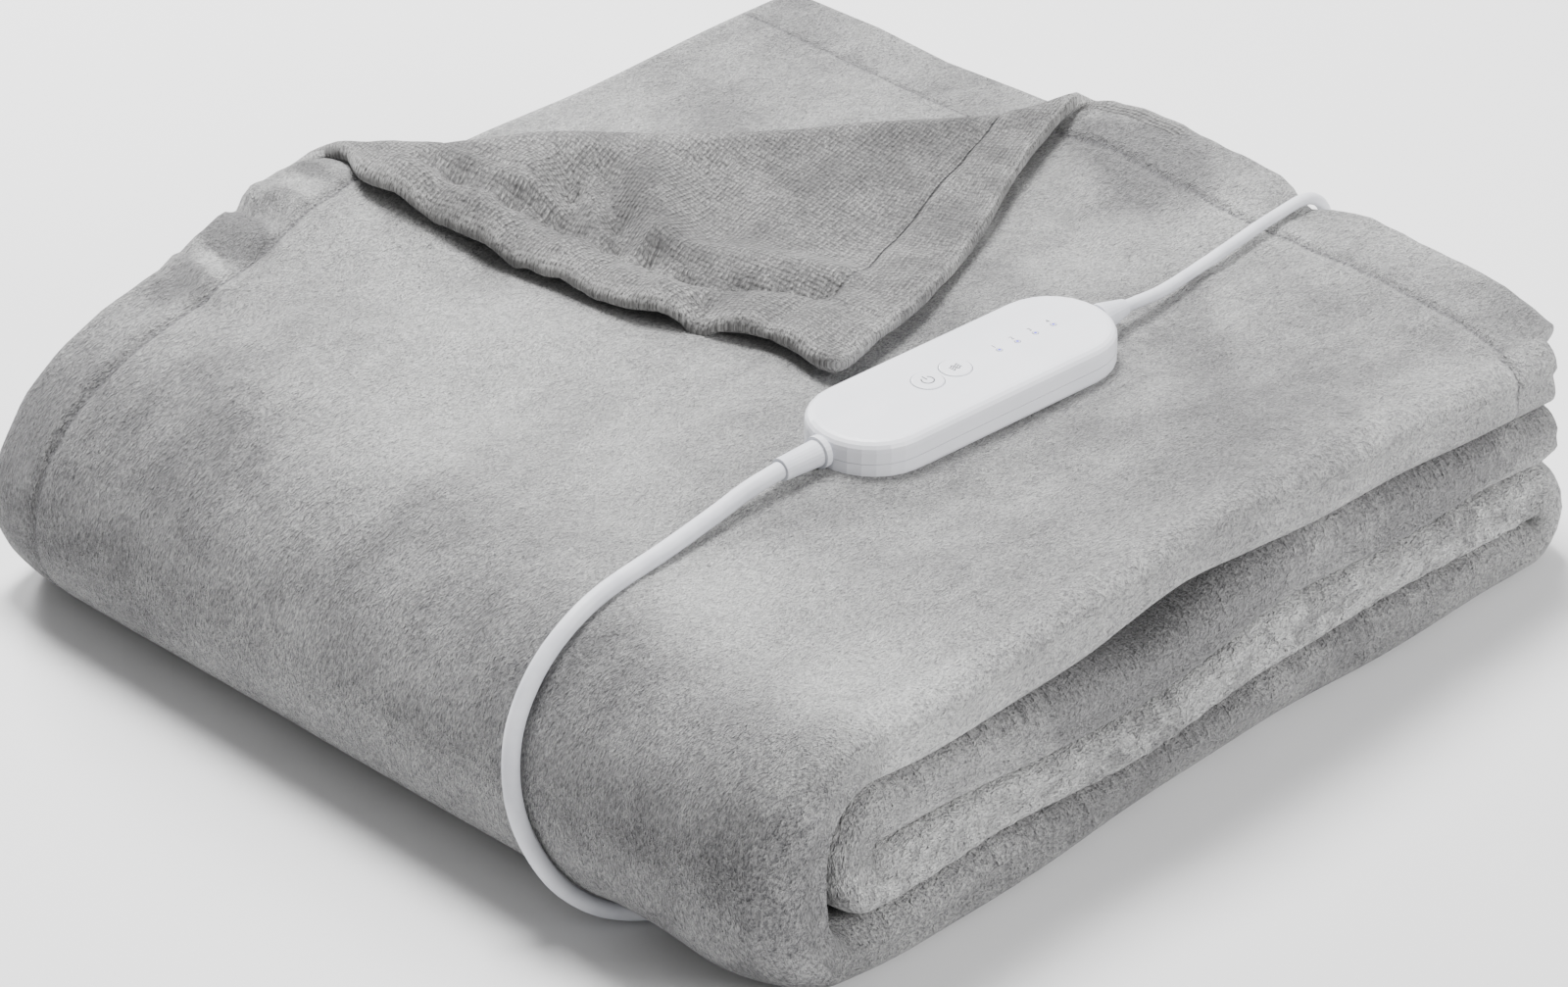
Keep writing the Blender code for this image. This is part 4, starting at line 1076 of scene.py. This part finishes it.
        pz = np.where(flat, z, height) + nz * offset
        return px, py, pz

    def rounded_corner(self, x: Array, y: Array, from_side: Array, from_end: Array) -> tuple[Array, Array]:
        """Flat places after the sheet's corner is rounded and its hems are let out unevenly."""
        size = self.corner_round
        p, q = np.clip(1 - from_side / size, 0, 1), np.clip(1 - from_end / size, 0, 1)
        x = x + size * p * (1 - np.sqrt(1 - q * q / 2))
        y = y - size * q * (1 - np.sqrt(1 - p * p / 2))
        near_end = np.clip(1 - from_end / self.let_out_over, 0, 1) ** 1.3
        near_side = np.clip(1 - from_side / self.let_out_over, 0, 1) ** 1.3
        y = y + near_end * through(self.end_out, from_side)
        x = x - near_side * through(self.side_out, from_end)
        return x, y

    def thickness(self, from_side: Array, from_end: Array, show: Array) -> Array:
        """Half the cloth's thickness: doubled hems, a sunk stitch line and a rounded edge."""
        edge = np.minimum(from_side, from_end)
        rounded = np.sqrt(np.clip(1 - (1 - np.clip(edge / 3.6, 0, 1)) ** 2, 0.04, 1))
        wide = self.hem_width
        hem = np.maximum(*(1 - smoothstep(place, wide - 4, wide) for place in (from_side, from_end)))
        sunk = np.maximum(*(bell(place, wide, 1.7) for place in (from_side, from_end)))
        ripple = 0.35 * np.sin(2 * math.pi * from_end / 19.0) * (from_side < wide)
        ripple = ripple + 0.35 * np.sin(2 * math.pi * from_side / 17.0) * (from_end < wide)
        return self.sheet / 2 * rounded + show * rounded * (1.1 * hem + ripple - 0.9 * sunk)

    def shows(self, zone: Zone, z: float) -> float:
        """How far hems and stitching show in a zone: all on top, and less down the wrapped front."""
        if zone is Zone.WRAP:
            return float(np.clip(z / 60.0, 0, 1))
        return 1.0 if zone is Zone.TOP else 0.0

    def own_level(self, zone: Zone, y: float, z: float) -> Level | None:
        """The level whose own pull moves a station where the top roll stands clear."""
        if zone is Zone.TOP:
            return Level.TOP
        high = z > float(self.level(self.right, Level.SECOND, np.array(y))) - self.sheet
        return Level.SECOND if zone is Zone.INSIDE and high else None

    def grids(self) -> tuple[Array, Array, Array]:
        """Both faces of the cloth as grids of points, with their flat coordinates."""
        (left, zones), (right, _) = self.side_profile(0), self.side_profile(1)
        mid_y, mid_z, pitch = ((getattr(left, key) + getattr(right, key)) / 2 for key in ("y", "z", "pitch"))
        from_end = np.concatenate(([0.0], np.cumsum(np.hypot(np.diff(mid_y), np.diff(mid_z)))))
        length = from_end[-1]
        faces, flat_rows = ([], []), []
        for i, zone in enumerate(Zone(value) for value in zones):
            ring = self.ring(float(mid_y[i]), float(pitch[i]), self.reach(float(from_end[i])))
            x_left, x_right = self.sides_at(mid_y[i])
            outer_ply = ring.across < ring.across[-1] * self.outer_share
            ends = np.full_like(ring.across, from_end[i])
            near_end = np.full_like(ring.across, min(from_end[i], length - from_end[i]))
            half = self.thickness(ring.across, near_end, self.shows(zone, mid_z[i]) * outer_ply)
            puff = self.side_puff * smoothstep(ring.x, x_right - 46.0, x_right - 14.0) * (np.abs(ring.height) > 0.5)
            own = self.own_level(zone, mid_y[i], mid_z[i])
            on_outer = np.arange(len(ring.x)) < ring.outer
            flap_cloth = (zone is Zone.TOP) & on_outer
            for face, way in zip(faces, (1.0, -1.0)):
                offset = np.where(flap_cloth, 0.0, way * half + puff * (way > 0))
                x = ring.x + ring.out_x * offset
                h = ring.height + ring.out_h * offset
                share = (x - x_left) / (x_right - x_left)
                near, far = (side.lifted(i, h * (side.pitch[i] / pitch[i])) for side in (left, right))
                y, z = ((1 - share) * a + share * b for a, b in zip(near, far))
                y = self.rounded_plan(x, y)
                if zone is Zone.BOTTOM and way > 0:
                    z = np.where(on_outer, 0.0, z)
                if zone is Zone.TOP:
                    turned = self.turned(x, y, z, way * half, ring.across, ends)
                    x, y, z = (np.where(flap_cloth, a, b) for a, b in zip(turned, (x, y, z)))
                rise = self.channel(x, y) * np.clip(1 - z / self.channel_fades_at, 0.0, None)
                z = np.where(flap_cloth, z, z + rise)
                face.append(self.settled(np.column_stack((x, y, z)), own))
            flat_rows.append(np.column_stack((ring.across, ends * self.flat[1] / MM / length)))
        return np.array(faces[0]), np.array(faces[1]), np.array(flat_rows)

    def build(self, plush: Material, knit: Material) -> Object:
        """Args:
            plush: Material of the outer face and the edges.
            knit: Material of the inner face.

        Returns:
            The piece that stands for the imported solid.
        """
        outer, inner, flat = self.grids()
        rows, count, _ = outer.shape
        points = (np.concatenate((outer.reshape(-1, 3), inner.reshape(-1, 3))) + TO_ORIGIN) * MM
        index = np.arange(rows * count).reshape(rows, count)
        a, b, c, d = index[:-1, :-1], index[1:, :-1], index[1:, 1:], index[:-1, 1:]
        face_out = np.stack((a, b, c, d), -1).reshape(-1, 4)
        face_in = np.stack((d, c, b, a), -1).reshape(-1, 4) + rows * count
        edges = []
        for line, flip in ((index[0], False), (index[-1], True), (index[:, 0], True), (index[:, -1], False)):
            p, q = line[:-1], line[1:]
            quad = np.stack((p, q, q + rows * count, p + rows * count), -1)
            edges.append(quad[:, ::-1] if flip else quad)
        faces = np.concatenate((face_out, face_in, *edges))
        piece = mesh_object("folded_throw", points, faces.tolist(), THROW)
        dress(piece, plush, knit)
        kinds = np.zeros(len(faces), dtype=np.int32)
        kinds[len(face_out) : len(face_out) + len(face_in)] = 1
        row, column = np.divmod(np.arange(len(face_out)), count - 1)
        from_side, from_end = flat[row, column].T
        rim = (from_end < self.crease_ends) & ((from_side < self.rim) | (from_end < self.rim)) & (from_side < 230)
        kinds[: len(face_out)][rim] = 1
        start = len(face_out) + len(face_in)
        kinds[start : start + self.end_edge] = 1
        along_hem = start + 2 * (count - 1)
        kinds[along_hem : along_hem + int(np.searchsorted(flat[:, 0, 1], self.crease_ends))] = 1
        piece.data.polygons.foreach_set("material_index", kinds)
        cloth = piece.data.uv_layers.new(name="cloth")
        both = np.concatenate((flat.reshape(-1, 2), flat.reshape(-1, 2))) * MM
        corners = np.zeros(len(piece.data.loops), dtype=np.int32)
        piece.data.loops.foreach_get("vertex_index", corners)
        cloth.data.foreach_set("uv", both[corners].ravel().astype(np.float32))
        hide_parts("blanket")
        LOG.info("folded throw: %d points, %d faces", len(points), len(faces))
        return piece


# ---------------------------------------------------------------- cords
def eased(route: Sequence[tuple], count: int) -> Array:
    """Even points on a smooth curve through a route in mm."""
    knots = np.array(route, dtype=float)
    padded = np.vstack((2 * knots[0] - knots[1], knots, 2 * knots[-1] - knots[-2]))
    fine = []
    for before, start, end, after in zip(padded, padded[1:], padded[2:], padded[3:]):
        pairs = ((before, start), (start, end), (end, after))
        g = [max(float(np.linalg.norm(b - a)), 1e-6) ** 0.5 for a, b in pairs]
        out = ((start - before) / g[0] - (end - before) / (g[0] + g[1]) + (end - start) / g[1]) * g[1]
        into = ((end - start) / g[1] - (after - start) / (g[1] + g[2]) + (after - end) / g[2]) * g[1]
        u = np.arange(12)[:, None] / 12
        ends = start * (2 * u**3 - 3 * u**2 + 1) + end * (3 * u**2 - 2 * u**3)
        fine.append(ends + out * (u**3 - 2 * u**2 + u) + into * (u**3 - u**2))
    line = np.vstack((*fine, knots[-1]))
    lengths = np.concatenate(([0.0], np.cumsum(np.linalg.norm(np.diff(line, axis=0), axis=1))))
    stops = np.linspace(0.0, lengths[-1], count)
    return np.column_stack([np.interp(stops, lengths, line[:, k]) for k in range(3)])


@dataclass
class Cord:
    """One cord: its route in mm, its radius and what it is joined to."""

    name: str
    route: Sequence[tuple]
    radius: float
    replaced: tuple
    with_pieces: tuple
    far_end: str
    lay: str
    length: float

    def build(self, jacket: Material) -> Object:
        data = bpy.data.curves.new(self.name, "CURVE")
        data.dimensions = "3D"
        data.bevel_depth = self.radius * MM
        data.bevel_resolution = 5
        data.resolution_u = 4
        data.use_fill_caps = True
        spline = data.splines.new("NURBS")
        places = (np.array(self.route) + TO_ORIGIN) * MM
        spline.points.add(len(places) - 1)
        for point, place in zip(spline.points, places):
            point.co = (*place, 1.0)
        spline.order_u = 4
        spline.use_endpoint_u = True
        data.materials.append(jacket)
        made = linked(self.name, data)
        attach(made, THROW)
        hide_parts(*self.replaced)
        LOG.info("%s: %d points", self.name, len(places))
        return made


MAINS_OVER = (
    (81.1, -95.1, 113.3), (80.2, -103.5, 112.0), (80.9, -114.0, 110.4), (82.0, -127.0, 109.7),
    (84.0, -142.0, 109.6), (85.7, -158.0, 109.5), (87.0, -173.0, 109.7), (87.5, -187.0, 108.3),
    (87.8, -198.7, 104.6), (88.4, -210.4, 99.1), (89.3, -220.2, 92.3), (90.6, -228.4, 84.0),
    (92.8, -235.2, 75.5), (95.6, -239.6, 67.0), (98.4, -242.3, 58.5), (101.2, -243.5, 50.0),
    (104.4, -243.2, 41.5), (107.8, -241.4, 33.0), (111.4, -238.6, 24.6), (115.2, -234.9, 17.2),
    (119.8, -229.9, 11.4), (125.2, -224.3, 6.8), (131.8, -216.4, 4.5), (138.8, -206.5, 3.8),
    (145.0, -195.5, 3.8), (148.8, -183.0, 3.8), (148.6, -165.0, 3.8), (143.8, -120.0, 3.8),
    (130.6, 20.0, 3.8), (117.5, 160.0, 3.8), (112.2, 215.0, 3.8), (109.3, 247.0, 4.0),
)  # fmt: skip
TAIL = (
    (22.2, 281.0, 13.0), (15.4, 276.1, 12.8), (8.0, 272.7, 11.9), (-0.1, 270.4, 10.2), (-8.6, 269.4, 8.4),
    (-14.4, 269.2, 7.6), (-19.8, 269.2, 7.4),
)  # fmt: skip
LEAD_OVER = (
    (90.7, 105.5, 109.7), (89.6, 115.5, 107.5), (87.6, 127.5, 105.6), (85.6, 142.0, 104.6),
    (83.9, 157.0, 104.2), (82.0, 173.0, 103.9), (80.0, 190.0, 103.7), (78.9, 206.0, 103.6),
    (78.8, 217.5, 104.0), (78.7, 224.6, 102.6), (78.6, 230.6, 98.4), (78.6, 234.7, 92.2),
    (78.5, 236.0, 85.0), (77.9, 234.8, 78.0), (76.0, 232.4, 72.0), (72.6, 229.9, 67.3),
    (68.0, 227.9, 64.1), (62.5, 226.8, 62.6), (54.4, 226.4, 62.4),
)  # fmt: skip


@dataclass(frozen=True)
class CoilRoute:
    """The put-away turns of the mains lead, in mm."""

    middle: tuple = (65.0, 277.2)
    turns: tuple = (
        (0, 42.8), (0.55, 42.8), (1.1, 35.8), (1.6, 35.6), (2.15, 28.8), (3.2, 28.8), (3.8, 35.8), (4.5, 35.8),
    )  # fmt: skip
    low: float = 5.4
    high: float = 12.4
    per_turn: int = 24
    leaves_at: float = 150.0  # degrees into the fifth turn, towards the plug

    def points(self) -> Array:
        """Points round the turns: inwards on the surface, up, and outwards on top."""
        end = 4 * 2 * math.pi + math.radians(self.leaves_at)
        angle = np.linspace(0.0, end, int(self.per_turn * end / (2 * math.pi)) + 1)
        turns = angle / (2 * math.pi)
        radius = through(self.turns, turns)
        height = through(((0.0, self.low), (2.6, self.low), (3.0, self.high), (4.5, self.high)), turns)
        x = self.middle[0] + radius * np.cos(angle)
        y = self.middle[1] + radius * np.sin(angle)
        return np.column_stack((x, y, height))


def mains_route(relief_exit: tuple) -> Array:
    """The whole mains lead: over the stack, under it, round its coil and out to its plug."""
    return np.vstack((relief_exit, MAINS_OVER, CoilRoute().points(), TAIL))


# ---------------------------------------------------------------- the hand control
@dataclass
class HandControl:
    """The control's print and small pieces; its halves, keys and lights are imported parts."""

    middle: tuple = (85.7, 9.9)
    turn: float = -3.0
    cover_top: float = 15.4
    key_proud: float = 0.4
    key_places: tuple = (-17.2, -2.6)
    key_off_line: float = -1.5
    light_first: float = 19.5
    light_pitch: float = 9.7
    number_off_line: float = -3.2
    print_tall: float = 0.06
    over_cloth: float = 0.3
    half_long: float = 73.5
    relief_gap: float = 0.7  # between the shell and where a relief's own length starts
    cord_height: float = 8.0
    throw: FoldedThrow = field(default_factory=FoldedThrow)

    def place(self) -> Matrix:
        """Where the control lies, level with the top ply."""
        x, y = self.middle
        step = 20.0

        def height(px: float, py: float) -> float:
            """Height of the top ply's middle."""
            return float(self.throw.top_height(np.array(px), np.array(py)))

        across = Vector((2 * step, 0, height(x + step, y) - height(x - step, y)))
        along = Vector((0, 2 * step, height(x, y + step) - height(x, y - step)))
        up = across.cross(along).normalized()
        a = math.radians(self.turn)
        ahead = along.normalized() * math.cos(a) - across.normalized() * math.sin(a)
        side = ahead.cross(up).normalized()
        ahead = up.cross(side)
        base = Vector((x, y, height(x, y) + self.throw.sheet / 2)) + up * self.over_cloth
        there = (base + Vector(TO_ORIGIN)) * MM
        return Matrix.Translation(there) @ Matrix((side, ahead, up)).transposed().to_4x4()

    def exit(self, way: int, relief_long: float) -> tuple:
        """Where a cord leaves its strain relief, in mm: -1 on the mains side, 1 on the blanket's."""
        end = Vector((0, way * (self.half_long + self.relief_gap + relief_long), self.cord_height)) * MM
        return tuple(self.place() @ end / MM - Vector(TO_ORIGIN))

    def strokes(
        self, name: str, lines: Sequence, width: float, centre: tuple, top: float, body: str, ink: Material
    ) -> None:
        """Thin printed strokes, each a flat ribbon.

        Args:
            name: The piece's name.
            lines: Each stroke's points in mm, about the centre.
            width: Of a stroke.
            centre: Where the mark is on the control.
            top: Height of the face that it is printed on.
            body: The body that it moves with.
            ink: Its material.
        """
        points, faces = [], []
        for line in lines:
            line = np.array(line, dtype=float)
            tangent = np.gradient(line, axis=0)
            tangent /= np.linalg.norm(tangent, axis=1)[:, None]
            normal = np.column_stack((-tangent[:, 1], tangent[:, 0])) * width / 2
            first = len(points)
            for p, n in zip(line, normal):
                for side in (1, -1):
                    q = p + n * side
                    points.append((q[0] + centre[0], q[1] + centre[1], top))
                    points.append((q[0] + centre[0], q[1] + centre[1], top + self.print_tall))
            for i in range(len(line) - 1):
                a, b = first + 4 * i, first + 4 * i + 4
                faces += [(a + 1, b + 1, b + 3, a + 3), (a, a + 2, b + 2, b)]
                faces += [(a, b, b + 1, a + 1), (a + 2, a + 3, b + 3, b + 2)]
            last = first + 4 * (len(line) - 1)
            faces += [(first, first + 1, first + 3, first + 2), (last, last + 2, last + 3, last + 1)]
        place = self.place()
        world = [place @ (Vector(p) * MM) for p in points]
        piece = mesh_object(name, np.array(world), faces, body)
        piece.data.shade_flat()
        dress(piece, ink)

    def number(self, text: str, y: float, ink: Material) -> None:
        """A printed number beside its light."""
        data = bpy.data.curves.new(f"number_{text}", "FONT")
        data.body = text
        data.size = 3.0 * MM
        data.extrude = 0.03 * MM
        data.align_x = data.align_y = "CENTER"
        shape = linked(f"number_{text}_shape", data)
        bpy.context.view_layer.update()
        mesh = bpy.data.meshes.new_from_object(shape.evaluated_get(bpy.context.evaluated_depsgraph_get()))
        bpy.data.objects.remove(shape)
        there = Vector((self.number_off_line, y, self.cover_top + 0.04)) * MM
        mesh.transform(self.place() @ Matrix.Translation(there) @ Matrix.Rotation(math.radians(90), 4, "Z"))
        made = linked(f"number_{text}", mesh)
        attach(made, THROW)
        dress(made, ink)

    def build(self, ink: Material) -> None:
        """Builds the marks on the keys and the numbers beside the lights."""
        top = self.cover_top + self.key_proud + 0.02
        sweep = np.radians(np.linspace(35, 325, 28))
        arc = [(-2.5 * math.cos(a), 2.5 * math.sin(a)) for a in sweep]
        power_at, heat_at = ((self.key_off_line, place) for place in self.key_places)
        stem = [(-3.2, 0.0), (-0.4, 0.0)]
        self.strokes("power_mark", (arc, stem), 0.5, power_at, top, POWER, ink)
        run = np.linspace(-2.4, 2.4, 17)
        waves = [[(0.45 * math.sin(2.6 * t) + off, t) for t in run] for off in (-1.15, 0.0, 1.15)]
        self.strokes("heat_mark", waves, 0.42, heat_at, top, HEAT, ink)
        for i in range(4):
            self.number(str(i + 1), self.light_first + self.light_pitch * i, ink)
        LOG.info("hand control: print on both keys and four numbers")


# ---------------------------------------------------------------- light, floor and camera
@dataclass(frozen=True)
class Lamp:
    """A soft square lamp: where it stands and looks, in metres, its size and its power in watts."""

    name: str
    at: tuple
    size: float
    power: float
    towards: tuple = (0.0, 0.0, 0.05)

    def build(self) -> None:
        """Puts the lamp in the scene."""
        data = bpy.data.lights.new(self.name, "AREA")
        data.shape = "SQUARE"
        data.size = self.size
        data.energy = self.power
        made = linked(self.name, data)
        made.location = self.at
        way = Vector(self.towards) - Vector(self.at)
        made.rotation_mode = "QUATERNION"
        made.rotation_quaternion = way.to_track_quat("-Z", "Y")


@dataclass
class Studio:
    """The pale floor, the soft light and the camera at the photograph's angle."""

    elevation: float = 32.386
    azimuth: float = 44.145
    lens: float = 146.25
    target: tuple = (0.0189, -0.0148, 0.04535)
    distance: float = 2.488
    strength: float = 0.36
    floor_half: float = 14.0
    floor_at: float = -0.0004  # just under the surface that the throw lies on
    lamps: tuple = (
        Lamp("overhead", (-0.75, 0.40, 2.3), 0.9, 132.0),
        Lamp("left_light", (-2.1, 0.7, 1.15), 0.7, 62.0),
        Lamp("right_fill", (2.1, 0.5, 1.1), 1.1, 50.0),
    )

    def camera(self) -> None:
        """Makes the camera."""
        a, e = math.radians(self.azimuth), math.radians(self.elevation)
        back = Vector((math.sin(a) * math.cos(e), -math.cos(a) * math.cos(e), math.sin(e)))
        data = bpy.data.cameras.new("photo_view")
        data.sensor_width = 36.0
        data.lens = self.lens
        data.clip_start, data.clip_end = 0.05, 60.0
        made = linked("photo_view", data)
        made.location = Vector(self.target) + back * self.distance
        made.rotation_mode = "QUATERNION"
        made.rotation_quaternion = (-back).to_track_quat("-Z", "Y")
        bpy.context.scene.camera = made

    def floor(self) -> None:
        """Makes the floor and the backdrop's light."""
        graph = Graph("pale_floor")
        speck = graph.noise(graph.place(Space.OBJECT), 3.0)
        graph.drive("Base Color", graph.ramp(speck, (0.0, (0.86, 0.86, 0.87)), (1.0, (0.88, 0.88, 0.88))))
        graph.constant(Roughness=0.7, Specular_IOR_Level=0.2)
        data = bpy.data.meshes.new("floor")
        side = self.floor_half
        data.from_pydata([(-side, -side, 0), (side, -side, 0), (side, side, 0), (-side, side, 0)], [], [(0, 1, 2, 3)])
        data.update()
        made = linked("floor", data)
        data.materials.append(graph.material)
        made.location.z = self.floor_at
        world = bpy.data.worlds.new("soft_studio")
        world.use_nodes = True
        shade = world.node_tree.nodes["Background"]
        shade.inputs["Color"].default_value = (1.0, 1.0, 1.0, 1.0)
        shade.inputs["Strength"].default_value = self.strength
        bpy.context.scene.world = world

    def build(self) -> None:
        """Puts in the lamps and the floor."""
        self.floor()
        for lamp in self.lamps:
            lamp.build()


def main() -> None:
    """Builds the looks in order and reports each piece."""
    logging.basicConfig(level=logging.INFO, format="%(message)s")
    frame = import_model()
    studio = Studio()
    studio.camera()
    jacket = JACKET.build()
    control = HandControl()
    Cord(
        name="mains_cord",
        route=mains_route(control.exit(-1, MAINS_RELIEF)),
        radius=3.5,
        replaced=("mains_lead", "mains_coil", "mains_tail"),
        with_pieces=("mains_relief", "coil_tie", "plug_relief", "mains_plug", "plug_pin_1", "plug_pin_2"),
        far_end="plug",
        lay="coiled",
        length=1.75,
    ).build(jacket)
    Cord(
        name="blanket_cord",
        route=eased((control.exit(1, LEAD_RELIEF), *LEAD_OVER), 36),
        radius=2.5,
        replaced=("blanket_lead",),
        with_pieces=("lead_relief", "lead_plug"),
        far_end="connector",
        lay="loose",
        length=0.19,
    ).build(jacket)
    plush, knit = PlushFinish().build(), KnitFinish().build()
    FoldedThrow().build(plush, knit)
    control.build(INK.build())
    finishes = {
        WHITE.build(): ("control_base", "control_top", "mains_plug", "lead_plug", "blanket_socket"),
        KEYS.build(): ("key_power", "key_heat"),
        jacket: ("mains_relief", "lead_relief", "plug_relief"),
        LampFinish().build(): ("light_1", "light_2", "light_3", "light_4"),
        METAL.build(): ("plug_pin_1", "plug_pin_2"),
        TIE.build(): ("coil_tie",),
    }
    for material, names in finishes.items():
        for name in names:
            dress(frame["nodes"][name], material)
    studio.build()


if __name__ == "__main__":
    main()
